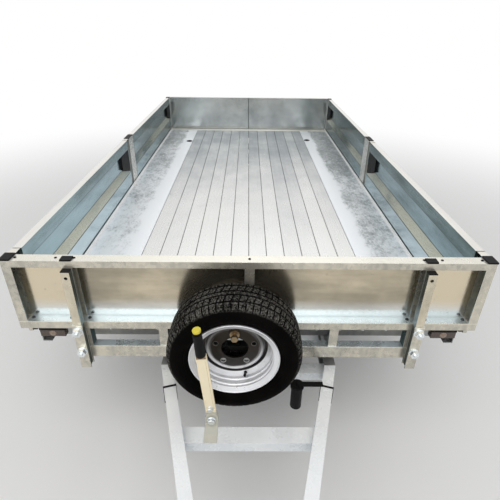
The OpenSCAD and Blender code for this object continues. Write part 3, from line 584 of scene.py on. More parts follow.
@dataclass(frozen=True)
class Margin(Finish):
    """Sheet margins beside the planks: bright near them, dull and blotched outside, with painted shade on the
    right side.
    """

    split: float = 0.732
    bright: Colour = (0.92, 0.945, 0.975)
    dull: Colour = (0.30, 0.325, 0.335)
    lip: float = 0.942
    lip_tone: Colour = (0.88, 0.88, 0.87)
    scratch_tone: Colour = (0.93, 0.95, 0.97)
    run: Band = (-0.9, 2.2)

    def paint(self, shader: Shader) -> None:
        """Builds the bright lane, the blotched band with its scratches, and the pale lip."""
        right = shader.axis("X")
        across = abs(right)
        cloud = shader.noise(2.6, (1.0, 0.8, 1.0), 4.0, 0.6)
        blot = shader.noise(15.0, (1.0, 0.7, 1.0), 9.0, 0.78)
        vein = shader.noise(58.0, (1.0, 0.5, 1.0), 6.0, 0.78)
        scuff = shader.noise(1.0, (60.0, 6.0, 20.0), 5.0)
        out = across + (blot - 0.5) * 0.09 + (cloud - 0.5) * 0.06
        band = out.rise(self.split - 0.03, self.split + 0.025)
        rear = shader.axis("Y").rise(*self.run)
        # The right margin is painted darker than the left, a painted shade
        shade = 0.30 + rear * 0.40 + right * 0.12 + (cloud - 0.5) * 0.9
        shade = shade + (blot - 0.5) * 1.3 + (vein - 0.5) * 1.2
        lane = ((blot - 0.5) * 0.7 + rear * 0.12).rise(0.0, 0.9)
        shade = band * shade.rise(-0.05, 1.0) + (1.0 - band) * lane
        colour = shader.mix(shade.rise(0.0, 1.0), self.bright, self.dull)
        scratch = 1.0 - abs(shader.noise(26.0, (1.0, 0.6, 1.0), 5.0, 0.7) - 0.5).rise(0.006, 0.030)
        colour = shader.mix(scratch * band * 0.55, colour, self.scratch_tone)
        edge = (across + (vein - 0.5) * 0.03).rise(self.lip - 0.018, self.lip)
        colour = shader.mix(edge * 0.75, colour, self.lip_tone)
        rough = 0.34 + (blot - 0.5) * 0.3 + band * 0.10 + (scuff - 0.5) * 0.1
        shader.surface(colour, rough, 0.6, shader.relief(vein + scuff * 0.4, 0.0006))


@dataclass(frozen=True)
class Panel(Finish):
    """Blue-grey sheet of the sides and tailboard that mirrors softly, with painted light: painted highlights,
    warm on the sloping strip and pale on the tops, painted shade in the folds, on the upper band and towards
    the rear, and a lighter left side and lower band.
    """

    tone: Colour = (0.082, 0.128, 0.132)
    pale: Colour = (0.345, 0.465, 0.505)
    # Colour of a pale lower band near the front, painted light, and where it fades out along the length
    low: Colour = (0.60, 0.70, 0.74)
    low_end: Band = (-0.9, 1.1)
    # Colours of the painted highlights on the sloping strip and on upper faces
    warm: Colour = (0.73, 0.73, 0.61)
    top: Colour = (0.86, 0.83, 0.78)
    # Colour of the painted shade along the folds
    fold_shade_tone: Colour = (0.012, 0.016, 0.018)
    seam_tone: Colour = (0.03, 0.035, 0.035)
    # Colour of the soiling and painted shade in hollows
    soil_and_shade_tone: Colour = (0.05, 0.05, 0.047)
    # Where painted shade sets in towards the rear, the foot of the upper band, which is painted darker, and
    # the heights of the sloping strip
    ahead: Band = (0.6, 2.4)
    band: float = 1.02
    strip: Band = (0.838, 0.902)
    along: Point = (6.0, 0.7, 7.0)
    metal: float = 0.92
    sheen: float = 0.20
    fold_half: float = 0.0024
    fold_soft: float = 0.0012
    seam: bool = False
    seam_x: float = -0.004
    seam_half: Band = (0.0012, 0.0042)
    # How much lighter the left side is painted than the right, painted light
    lean: float = 0.11

    def paint(self, shader: Shader) -> None:
        """Builds long marks, soft clouds, painted light by side, length and band, the warm painted highlight
        on the strip, painted shade in the folds, the seam, the painted highlight on the tops, and soiling and
        painted shade in hollows.
        """
        drawn = shader.noise(2.6, self.along, 6.0, 0.6)
        cloud = shader.noise(1.7, (1.0, 0.6, 1.3), 5.0)
        flake = shader.cells(120.0)
        grain = shader.noise(220.0, detail=2.0)
        smear = shader.noise(7.0, (1.0, 0.45, 1.6), 6.0, 0.66)
        across = shader.axis("X")
        along = shader.axis("Y")
        height = shader.axis("Z")
        # Painted light: lighter on the left side and below the strip, darker towards the rear and on the
        # upper band
        share = 0.64 - across * self.lean + (drawn - 0.5) * 1.2 + (cloud - 0.5) * 1.3 + (smear - 0.5) * 0.7
        share = share + (flake - 0.5) * 0.08 + (grain - 0.5) * 0.12
        share = share - along.rise(*self.ahead) * 0.88
        share = share - height.rise(self.band - 0.002, self.band) * 0.25
        low = 1.0 - height.rise(self.strip[0] - 0.002, self.strip[0])
        share = share + low * 0.22
        colour = shader.mix(share.rise(0.0, 1.0), self.tone, self.pale)
        # A pale lower band near the front, painted light
        near = 1.0 - (along + (cloud - 0.5) * 0.6).rise(*self.low_end)
        colour = shader.mix(low * near * (0.45 + drawn * 0.8), colour, self.low)
        # A painted highlight on the sloping strip
        slope = height.band(*self.strip, 0.002)
        colour = shader.mix(slope * cloud.rise(0.30, 0.52) * 0.85, colour, self.warm)
        # Painted shade along the folds
        for fold in (*self.strip, self.band):
            line = height.band(fold - self.fold_half, fold + self.fold_half, self.fold_soft)
            colour = shader.mix(line * 0.9, colour, self.fold_shade_tone)
        if self.seam:
            line = 1.0 - abs(across - self.seam_x).rise(*self.seam_half)
            colour = shader.mix(line * 0.85, colour, self.seam_tone)
        # Upper faces take a painted highlight
        colour = shader.mix(shader.upward() * (0.75 + drawn * 0.3), colour, self.top)
        # Hollows get soiling and painted shade
        dirt_and_shade = shader.hollows(0.03) * (0.3 + drawn)
        colour = shader.mix(dirt_and_shade.rise(0.15, 0.8) * 0.75, colour, self.soil_and_shade_tone)
        rough = self.sheen + (cloud - 0.5) * 0.16 + (drawn - 0.5) * 0.12
        normal = shader.relief(drawn * 0.8 + grain * 0.2 + flake * 0.1, 0.0004)
        shader.surface(colour, rough, self.metal, normal)


@dataclass(frozen=True)
class Moulded(Finish):
    """Moulded plastic or paint with a fine grain, scuffs and dust."""

    tone: Colour = (0.006, 0.006, 0.0065)
    dust: Colour = (0.035, 0.033, 0.030)
    grain: float = 420.0
    rough: float = 0.5
    metal: float = 0.0
    depth: float = 0.0004
    coat: float = 0.0
    gloss: float = 0.12
    foot: Colour = (0.62, 0.62, 0.56)
    foot_z: float = -1.0

    def paint(self, shader: Shader) -> None:
        """Builds the grain, soft scuffs, dust and a bare foot."""
        grain = shader.noise(self.grain, detail=3.0)
        scuff = shader.noise(16.0, (1.0, 2.2, 1.0), 6.0, 0.65)
        share = scuff.rise(0.46, 0.82) * 0.5 + (grain - 0.5) * 0.12
        colour = shader.mix(share.rise(0.0, 1.0), self.tone, self.dust)
        if self.foot_z > 0.0:
            foot = 1.0 - shader.axis("Z").rise(self.foot_z - 0.004, self.foot_z + 0.004)
            colour = shader.mix(foot * (0.7 + scuff * 0.4), colour, self.foot)
        rough = self.rough + (scuff - 0.5) * 0.26 + (grain - 0.5) * 0.1
        normal = shader.relief(grain, self.depth, 0.0012)
        shader.surface(colour, rough, self.metal, normal, Coat_Weight=self.coat,
                       Specular_IOR_Level=self.gloss)


@dataclass(frozen=True)
class Tread(Finish):
    """Tyre rubber: black walls with a faint bloom, a greyer worn tread and black grooves."""

    tone: Colour = (0.0022, 0.0019, 0.0018)
    bloom: Colour = (0.010, 0.0085, 0.0075)
    worn: Colour = (0.17, 0.165, 0.15)
    groove_tone: Colour = (0.0012, 0.001, 0.001)
    hub: Point = (0.0, 0.0, 0.0)
    axle: str = "X"
    tread_r: Band = (0.250, 0.264)

    def paint(self, shader: Shader) -> None:
        """Builds fine grain, blooms, the worn tread, its fine cuts and its grooves."""
        grain = shader.noise(500.0, detail=2.0)
        bloom = shader.noise(9.0, detail=6.0, rough=0.65)
        cut = shader.noise(150.0, detail=3.0, rough=0.6)
        colour = shader.mix(bloom.rise(0.42, 0.85) * 0.6, self.tone, self.bloom)
        tread = shader.radius(self.hub, self.axle).rise(*self.tread_r)
        wear = (0.35 + (cut - 0.5) * 2.4 + (bloom - 0.5) * 0.8).rise(0.0, 1.0)
        colour = shader.mix(tread * wear, colour, self.worn)
        groove = shader.hollows(0.012)
        colour = shader.mix(groove.rise(0.12, 0.45) * tread, colour, self.groove_tone)
        rough = 0.62 + (bloom - 0.5) * 0.35
        shader.surface(colour, rough, 0.0, shader.relief(grain * 0.6 + bloom, 0.0007, 0.001),
                       Specular_IOR_Level=0.02)


@dataclass(frozen=True)
class Enamel(Finish):
    """Sprayed metallic enamel of the wheels, with orange peel, brake dust and small chips, and painted shade
    on the disc, in a thin ring round it and in hollows.
    """

    tone: Colour = (0.93, 0.94, 0.97)
    shade: Colour = (0.46, 0.46, 0.48)
    # Colour of the disc's painted shade
    disc: Colour = (0.016, 0.0125, 0.009)
    chip_tone: Colour = (0.13, 0.11, 0.10)
    # Colours of the painted shade in a thin ring round the disc, on faces that look down and over the upper
    # half
    ring_shade_tone: Colour = (0.003, 0.003, 0.003)
    underside_shade_tone: Colour = (0.085, 0.075, 0.062)
    upper_shade_tone: Colour = (0.040, 0.033, 0.026)
    hub: Point = (0.0, 0.0, 0.0)
    axle: str = "X"
    # Radii and heights of the painted shade on the disc, in the ring and over the upper half
    disc_shade_r: Band = (0.096, 0.115)
    ring_shade: Band = (0.1235, 0.1365)
    upper_shade_r: Band = (0.142, 0.160)
    upper_shade_rise: Band = (-0.075, 0.045)
    # Shares of the painted shade on faces that look down and over the upper half
    under: float = 0.0
    film: float = 0.0

    def paint(self, shader: Shader) -> None:
        """Builds flakes, peel, dust, chips, the disc and a thin ring round it painted dark, a painted shade,
        and painted shade on faces that look down and over the upper half.
        """
        radius = shader.radius(self.hub, self.axle)
        flake = shader.noise(900.0, detail=1.0)
        peel = shader.noise(150.0, detail=2.0)
        cloud = shader.noise(12.0, detail=6.0, rough=0.62)
        # Hollows get brake dust and painted shade
        dust = shader.hollows(0.06) * (0.35 + cloud)
        share = (cloud - 0.38).rise(0.0, 0.6) * 0.4 + (flake - 0.5) * 0.35 + dust * 0.55
        colour = shader.mix(share.rise(0.0, 1.0), self.tone, self.shade)
        chip = shader.noise(70.0, detail=3.0).rise(0.72, 0.75)
        colour = shader.mix(chip * 0.6, colour, self.chip_tone)
        # The disc is painted dark, a painted shade, and so is a thin ring round it
        inner = 1.0 - (radius + (cloud - 0.5) * 0.02).rise(*self.disc_shade_r)
        colour = shader.mix(inner * 0.96, colour, self.disc)
        colour = shader.mix(radius.band(*self.ring_shade, 0.0008) * 0.97, colour, self.ring_shade_tone)
        # Faces that look down are painted darker, a painted shade
        if self.under > 0.0:
            painted_shade = shader.downward() * self.under * (0.7 + cloud * 0.5)
            colour = shader.mix(painted_shade, colour, self.underside_shade_tone)
        # The upper half of the disc is painted darker, a painted shade
        if self.film > 0.0:
            above = (shader.axis("Z") - self.hub[2] + (cloud - 0.5) * 0.05).rise(*self.upper_shade_rise)
            inside = 1.0 - radius.rise(*self.upper_shade_r)
            colour = shader.mix(above * inside * self.film, colour, self.upper_shade_tone)
        rough = 0.30 + (cloud - 0.5) * 0.2 + dust * 0.25
        metal = 0.55 + inner * 0.42
        coat = 0.25 - inner * 0.25
        shader.surface(colour, rough, metal, shader.relief(peel, 0.0003, 0.002), Coat_Weight=coat)


@dataclass(frozen=True)
class Lens(Finish):
    """Ribbed lamp lens with an inner pattern of prisms."""

    tone: Colour = (0.20, 0.075, 0.03)
    dark: Colour = (0.06, 0.022, 0.012)
    dust_tone: Colour = (0.25, 0.22, 0.18)
    prisms: float = 50.0

    def paint(self, shader: Shader) -> None:
        """Builds the prisms behind a glossy front, with dust."""
        prism, check = (
            shader.make("ShaderNodeTexWave", {"wave_type": "BANDS", "bands_direction": way},
                        {"Vector": shader.place(), "Scale": self.prisms, "Distortion": 0.0}, out="Fac")
            for way in ("X", "Z"))
        dust = shader.noise(24.0, detail=6.0)
        colour = shader.mix((prism * 0.6 + check * 0.4).rise(0.1, 0.9), self.dark, self.tone)
        colour = shader.mix(dust.rise(0.55, 0.8) * 0.25, colour, self.dust_tone)
        rough = 0.16 + dust.rise(0.45, 0.8) * 0.25
        normal = shader.relief(prism * 0.5 + check * 0.5, 0.0005, 0.0015)
        shader.surface(colour, rough, 0.0, normal, Coat_Weight=0.6)


@dataclass(frozen=True)
class Turned(Finish):
    """Bright turned or ground steel with fine lathe marks and an oil film."""

    tone: Colour = (0.66, 0.66, 0.65)
    film: Colour = (0.34, 0.32, 0.29)
    lines: Point = (4.0, 4.0, 260.0)
    rough: float = 0.24

    def paint(self, shader: Shader) -> None:
        """Builds lathe marks, smears and fine pits."""
        marks = shader.noise(1.0, self.lines, 3.0)
        smear = shader.noise(14.0, detail=6.0, rough=0.62)
        pit = shader.noise(330.0, detail=2.0)
        share = smear.rise(0.42, 0.8) * 0.7 + (marks - 0.5) * 0.3
        colour = shader.mix(share.rise(0.0, 1.0), self.tone, self.film)
        rough = self.rough + smear.rise(0.4, 0.8) * 0.2 + (marks - 0.5) * 0.12
        shader.surface(colour, rough, 0.9, shader.relief(marks * 0.7 + pit * 0.3, 0.0002))


FRAME_ZINC = Zinc("zinc_frame", Slot.ZINC, tone=(0.64, 0.635, 0.60), deep=(0.38, 0.385, 0.375), grime_and_shade=0.8)
POST_ZINC = Zinc("zinc_posts", Slot.ZINC, tone=(0.76, 0.76, 0.72), deep=(0.50, 0.505, 0.48), flakes=0.25)
# X, Z and radius of the painted shadow behind the spare wheel
SPARE_SHADOW: Point = (-0.058, 0.625, 0.15)
# Warm tone, partly painted warm light
RAIL_ZINC = Zinc("zinc_headboard", Slot.ZINC, tone=(0.73, 0.69, 0.575), deep=(0.43, 0.415, 0.375),
                 top=(0.80, 0.775, 0.70), top_light=0.95, shelf_light_top=0.90, flank_shade=(0.026, 0.064, 0.068),
                 flank_shade_share=1.0, grime_and_shade=0.45, flakes=0.30, soil_and_shade=(0.035, 0.042, 0.042), spare_shadow=SPARE_SHADOW,
                 highlight_heights=(0.641, 0.783))
# Warm tone, partly painted warm light
LADDER_ZINC = Zinc("zinc_ladder", Slot.ZINC, tone=(0.78, 0.71, 0.56), deep=(0.50, 0.455, 0.36),
                   top=(0.80, 0.78, 0.70), flank_shade=(0.022, 0.040, 0.040), flank_shade_share=1.0, flakes=0.20,
                   cuts=(0.7455,))
# Parts under the bed take heavy soiling and painted shade in hollows, and the painted shadow behind the spare
# wheel
BELOW_ZINC = Zinc("zinc_under", Slot.ZINC, tone=(0.46, 0.47, 0.47), deep=(0.25, 0.26, 0.27), sheen=0.40,
                  top_light=0.2, grime_and_shade=1.0, soil_and_shade=(0.035, 0.035, 0.035), spare_shadow=SPARE_SHADOW)
# Near-white tone, partly a painted highlight
DRAW_ZINC = Zinc("zinc_drawbar", Slot.ZINC, tone=(0.95, 0.98, 1.0), deep=(0.74, 0.79, 0.83),
                 top=(0.94, 0.965, 0.98), runs=(2.0, 0.9, 2.0), metal=0.10, grime_and_shade=0.4)
# Cream tone, partly painted warm light on the zinc
LEVER_ZINC = Moulded("lever_zinc_warm_light", Slot.ZINC, tone=(1.0, 0.885, 0.65), dust=(0.92, 0.79, 0.56), grain=120.0,
                     rough=0.36, gloss=0.5, foot_z=0.553)
FRONT_SHEET = Bright("bright_front_sheet", Slot.SHEET)
SIDE_PANEL = Panel("panel_side", Slot.SHEET)
TAIL_PANEL = Panel("panel_tail", Slot.SHEET, tone=(0.275, 0.305, 0.305), pale=(0.54, 0.57, 0.57),
                   strip=NOWHERE, along=(2.2, 1.0, 0.8), ahead=(8.0, 9.0), band=9.0, seam=True, lean=0.03)
DECK = Planks("deck_planks", Slot.SHEET)
END_STRIP = Bright("deck_end_plate", Slot.SHEET, tone=(0.93, 0.91, 0.83), dull=(0.74, 0.73, 0.67),
                   foot_z=NOWHERE, drawn=(3.0, 30.0, 3.0), soil_and_shade=0.0, metal=0.2)
MARGIN = Margin("deck_margin", Slot.SHEET)
BLACK = Moulded("black_moulding", Slot.PLASTIC)
RUBBER = Moulded("black_rubber", Slot.RUBBER, tone=(0.008, 0.008, 0.008), rough=0.66, depth=0.0006)
YELLOW = Moulded("yellow_button", Slot.PLASTIC, tone=(0.78, 0.66, 0.05), dust=(0.5, 0.42, 0.08), rough=0.38,
                 gloss=0.5)
DARK = Moulded("dark_enamel", Slot.DARK, tone=(0.02, 0.021, 0.023), rough=0.36, grain=180.0, coat=0.3,
               gloss=0.5)
CAST = Moulded("cast_housing", Slot.CAST, tone=(0.20, 0.205, 0.21), dust=(0.33, 0.33, 0.32), grain=190.0,
               rough=0.52, metal=0.5, depth=0.0012, gloss=0.5)
TREADS = {f"tyre_{end}_{side}": Tread(f"tread_{end}_{side}", Slot.TYRE, hub=(0.0, y, AXLE_Z))
          for end, y in WHEEL_YS.items() for side in SIDES}
SPARE_TREAD = Tread("tread_spare", Slot.TYRE, hub=SPARE_HUB, axle="Y")
# The spare's enamel takes painted shade on faces that look down and over its upper half, and so do the seats
# of its holes
SPARE_ENAMEL = Enamel("wheel_enamel_spare", Slot.SILVER, hub=SPARE_HUB, axle="Y", under=0.85, film=0.85)
HOLE_ENAMEL = Enamel("hole_enamel", Slot.SILVER, tone=(0.55, 0.55, 0.55), hub=SPARE_HUB, axle="Y",
                     disc_shade_r=NOWHERE, ring_shade=NOWHERE, film=0.9)
RIM_ENAMELS = {f"rim_{end}_{side}": Enamel(f"wheel_enamel_{end}_{side}", Slot.SILVER, hub=(0.0, y, AXLE_Z))
               for end, y in WHEEL_YS.items() for side in SIDES}
MARKER = Lens("lens_marker", Slot.MARKER, tone=(0.075, 0.042, 0.024), dark=(0.022, 0.012, 0.008))
MARKER_EYE = Lens("lens_marker_eye", Slot.MARKER, tone=(0.34, 0.24, 0.17), dark=(0.15, 0.10, 0.07))
RED = Lens("lens_red", Slot.RED, tone=(0.42, 0.02, 0.018), dark=(0.13, 0.006, 0.006))
AMBER = Lens("lens_amber", Slot.RED, tone=(0.75, 0.25, 0.02), dark=(0.30, 0.08, 0.008))
CLEAR = Lens("lens_clear", Slot.RED, tone=(0.72, 0.72, 0.70), dark=(0.35, 0.35, 0.35))
STEEL = Turned("bright_steel", Slot.STEEL)
CLAMP = Turned("clamp_plating", Slot.STEEL, tone=(0.86, 0.90, 0.92), film=(0.44, 0.46, 0.47), rough=0.22)
CARRIER = Turned("carrier_coat", Slot.ZINC, tone=(0.34, 0.25, 0.15), film=(0.10, 0.075, 0.05), rough=0.34)
PLATED = Turned("plated_bolts", Slot.STEEL, tone=(0.55, 0.54, 0.50), film=(0.25, 0.24, 0.22), rough=0.32)

NODE_FINISHES: dict[str, Finish] = {
    "chassis_rails": BELOW_ZINC, "chassis_crossmembers": DRAW_ZINC, "ram_cradle": BELOW_ZINC,
    "drawbar": DRAW_ZINC, "coupling_body": CAST, "coupling_gaiter": RUBBER, "coupling_head": STEEL,
    "handbrake_lever": LEVER_ZINC, "handbrake_grip": BLACK, "axles": BELOW_ZINC, "bed_pads": RUBBER,
    "hydraulic_pack": DARK, "rear_light_bar": BELOW_ZINC, "rear_lamps": RED, "parked_plug": BLACK,
    "jockey_sleeve": FRAME_ZINC, "jockey_leg": STEEL, "jockey_fork": FRAME_ZINC, "jockey_wheel": RUBBER,
    "bed_beams": BELOW_ZINC, "bed_bearers": BELOW_ZINC, "bed_edge_rails": BELOW_ZINC,
    "front_frame": RAIL_ZINC, "deck_planks": DECK, "deck_margins": MARGIN, "headboard_frame": RAIL_ZINC,
    "headboard_sheet": FRONT_SHEET, "ladder_posts": LADDER_ZINC, "clamp_bolts": CLAMP, "post_caps": BLACK,
    "front_markers": MARKER, "side_posts": POST_ZINC, "hinge_brackets": FRAME_ZINC,
    "ram_bracket": BELOW_ZINC, "spare_carrier": CARRIER, "spare_rim": SPARE_ENAMEL,
    "spare_tyre": SPARE_TREAD, "tailboard": TAIL_PANEL, "tailboard_latches": BLACK, "ram_barrel": DARK,
    "ram_stage_one": STEEL, "ram_stage_two": STEEL, "ram_rod": STEEL, **RIM_ENAMELS, **TREADS,
    **{f"dropside_{end}_{side}": SIDE_PANEL for end in WHEEL_YS for side in SIDES},
    **{f"latches_{end}_{side}": BLACK for end in WHEEL_YS for side in SIDES},
}


class Shape:
    """A mesh under construction that may hold many like pieces."""

    washer: float = 0.0016
    # Outlines of a washer and a rivet's head, as shares of their sizes
    rim: Sequence[Band] = ((1.22, 0.0), (1.22, 0.7), (1.16, 1.0))
    dome: Sequence[Band] = ((1.0, 0.0), (0.96, 0.2), (0.72, 0.45), (0.3, 0.56))

    def __init__(self) -> None:
        """Starts an empty mesh."""
        self.mesh = bmesh.new()

    def skin(self, rows: Sequence[Sequence[Vector]], loop: bool = False) -> None:
        """Joins rows of points, each closed on itself, into a skin.

        Args:
            rows: Rows of as many points each.
            loop: Whether the last row joins the first. Otherwise both ends are filled.
        """
        made = [[self.mesh.verts.new(point) for point in row] for row in rows]
        count = len(made[0])
        for low, high in zip(made, made[1:] + made[:1] if loop else made[1:]):
            for i in range(count):
                j = (i + 1) % count
                self.mesh.faces.new((low[i], low[j], high[j], high[i]))
        if not loop:
            self.mesh.faces.new(list(reversed(made[0])))
            self.mesh.faces.new(made[-1])

    def lathe(self, outline: Sequence[Band], where: Matrix, sides: int = 24, turn: float = 0.0,
              loop: bool = False) -> None:
        """Turns an outline about the local Z axis.

        Args:
            outline: Radius and height, from one end to the other or round a section.
            where: Place and direction of the axis.
            sides: Sides of the turned piece.
            turn: Start angle in radians.
            loop: Whether the outline is a closed section.
        """
        angles = [turn + 2 * math.pi * i / sides for i in range(sides)]
        self.skin([[where @ Vector((r * math.cos(a), r * math.sin(a), z)) for a in angles]
                   for r, z in outline], loop)

    def hoop(self, radius: float, out: float, thick: float, where: Matrix, sides: int = 72,
             steps: int = 8) -> None:
        """A ring of round section about the local Z axis.

        Args:
            radius: Radius of the ring.
            out: Height of its middle.
            thick: Radius of its section.
            where: Place and direction of the axis.
            sides: Sides of the ring.
            steps: Sides of the section.
        """
        angles = [2 * math.pi * i / steps for i in range(steps)]
        self.lathe([(radius + thick * math.cos(a), out + thick * math.sin(a)) for a in angles], where, sides,
                   loop=True)

    def bolt(self, where: Matrix, across: float, height: float) -> None:
        """A hexagon head on a washer.

        Args:
            where: Seat of the washer, with Z out of the surface.
            across: Width across the flats.
            height: Height of the head.
        """
        half = across / 2
        corner = half / math.cos(math.pi / 6)
        self.lathe([(corner * r, self.washer * z) for r, z in self.rim], where)
        self.lathe([(corner * 0.98, self.washer), (corner, self.washer * 1.2), (corner, height * 0.82),
                    (half * 0.96, height)], where, sides=6, turn=0.3)

    def rivet(self, where: Matrix, radius: float) -> None:
        """A domed head.

        Args:
            where: Seat of the head, with Z out of the surface.
            radius: Radius of the head.
        """
        self.lathe([(radius * r, radius * z) for r, z in self.dome], where, sides=14)

    def block(self, low: Point, high: Point, edge: float, where: Optional[Matrix] = None) -> None:
        """A box with rounded edges.

        Args:
            low: Its lowest corner.
            high: Its highest corner.
            edge: Radius of its edges.
            where: Place of the corners' frame.
        """
        made = bmesh.ops.create_cube(self.mesh, size=1.0)["verts"]
        size = Vector(high) - Vector(low)
        middle = (Vector(high) + Vector(low)) / 2
        for vert in made:
            vert.co = vert.co * size + middle
        edges = list({e for v in made for e in v.link_edges})
        made = bmesh.ops.bevel(self.mesh, geom=edges + made, offset=edge, segments=2, profile=0.6,
                               affect="EDGES")["verts"]
        if where is not None:
            for vert in made:
                vert.co = where @ vert.co

    def mirrored(self, sign: float, low: Point, high: Point, edge: float) -> None:
        """A rounded box on one side of the trailer.

        Args:
            sign: Side of the trailer.
            low: One corner, with X counted outwards.
            high: The opposite corner.
            edge: Radius of its edges.
        """
        left, right = sorted((sign * low[0], sign * high[0]))
        self.block((left, *low[1:]), (right, *high[1:]), edge)

    def bead(self, first: Vector, last: Vector, radius: float, ripple: float = 0.0035) -> None:
        """A weld bead along a line.

        Args:
            first: Start of the line.
            last: End of the line.
            radius: Radius of the bead.
            ripple: Length of one ripple.
        """
        along = last - first
        steps = max(4, int(along.length / ripple))
        side = along.orthogonal().normalized()
        up = along.normalized().cross(side)
        angles = [i * math.pi / 4 for i in range(8)]
        rows = []
        for k in range(steps + 1):
            swell = radius * (0.82 + 0.18 * math.cos(k * math.pi)) * (0.55 if k in (0, steps) else 1.0)
            spot = first + along * (k / steps)
            rows.append([spot + (side * math.cos(a) + up * math.sin(a)) * swell for a in angles])
        self.skin(rows)

    def piece(self, name: str, body: str, finish: Finish, smooth: float = EASY) -> bpy.types.Object:
        """Ends the mesh as a piece that rides on a body.

        Args:
            name: The piece's name.
            body: Body that carries it.
            finish: Its finish.
            smooth: Largest angle between faces that shade smoothly, in radians.

        Returns:
            The object.
        """
        bmesh.ops.recalc_face_normals(self.mesh, faces=self.mesh.faces)
        for face in self.mesh.faces:
            face.smooth = True
        for edge in self.mesh.edges:
            edge.smooth = edge.calc_face_angle(0.0) < smooth
        data = bpy.data.meshes.new(name)
        self.mesh.to_mesh(data)
        self.mesh.free()
        data.materials.append(finish.material())
        made = bpy.data.objects.new(name, data)
        bpy.context.scene.collection.objects.link(made)
        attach(made, body)
        log.info("piece %s on %s: %d faces", name, body, len(data.polygons))
        return made


def facing(at: Point, way: Point) -> Matrix:
    """A frame at a point with Z along a direction.

    Args:
        at: The point.
        way: The direction.

    Returns:
        The frame's matrix.
    """
    turn = Vector(way).to_track_quat("Z", "Y").to_matrix().to_4x4()
    return Matrix.Translation(Vector(at)) @ turn


@dataclass
class Tyre:
    """A tyre with ribs, shoulder blocks and rings on its walls."""

    pitches: int = 60
    slant: float = 0.5
    ribs: float = 0.046
    # Places of a pitch's columns, and whether a column lies in the slot
    columns: Sequence[tuple[float, int]] = ((0.0, 0), (0.39, 0), (0.78, 0), (0.83, 1), (0.95, 1))
    # Radius, distance from the middle and slot depth, in millimetres
    half: Sequence[Point] = (
        (165.3, 69.5, 0), (184.0, 69.5, 0), (186.6, 78.5, 0), (191.0, 83.4, 0), (193.5, 84.0, 0),
        (195.0, 86.6, 0), (198.5, 88.6, 0), (201.0, 88.4, 0), (203.0, 89.9, 0), (212.0, 93.0, 0),
        (220.0, 94.4, 0), (226.0, 94.5, 0), (227.0, 93.8, 0), (229.0, 93.8, 0), (230.0, 94.2, 0),
        (240.0, 91.7, 0), (247.0, 89.6, 0), (248.0, 88.6, 0), (250.0, 88.0, 0), (251.0, 88.1, 0.3),
        (256.0, 85.6, 2.0), (262.0, 81.0, 5.0), (267.0, 75.0, 7.0), (270.6, 68.5, 7.5), (272.6, 61.5, 7.5),
        (273.6, 54.6, 7.5), (266.4, 53.4, 0), (266.4, 46.4, 0), (274.2, 45.0, 5.5), (274.8, 36.0, 5.5),
        (275.3, 26.0, 5.5), (275.6, 16.4, 5.5), (267.2, 15.0, 0), (267.2, 8.4, 0), (275.9, 7.0, 2.2),
        (276.0, 2.4, 0.0))

    def outline(self) -> list[Point]:
        """Radius, distance from the middle and slot depth in metres, from bead to bead."""
        half = [(r / 1000.0, a / 1000.0, d / 1000.0) for r, a, d in self.half]
        return half + [(r, -a, d) for r, a, d in reversed(half)]

    def build(self, name: str, body: str, node: str, where: Matrix, finish: Finish) -> None:
        """Builds the tyre in place of its plain CAD node.

        Args:
            name: The piece's name.
            body: Body that carries it.
            node: CAD node that it stands for.
            where: Middle of the wheel, with Z along its axle.
            finish: The tyre's rubber.
        """
        step = 2 * math.pi / self.pitches
        columns = [(p * step + u * step, slot) for p in range(self.pitches) for u, slot in self.columns]
        rows = []
        for r, a, depth in self.outline():
            lean = self.slant * math.copysign(1.0, a) * min(abs(a), self.ribs) / self.ribs * step
            spots = [(r - depth * slot, t + lean) for t, slot in columns]
            rows.append([where @ Vector((out * math.cos(t), out * math.sin(t), a)) for out, t in spots])
        shape = Shape()
        shape.skin(rows, loop=True)
        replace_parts(shape.piece(name, body, finish, FIRM), node)


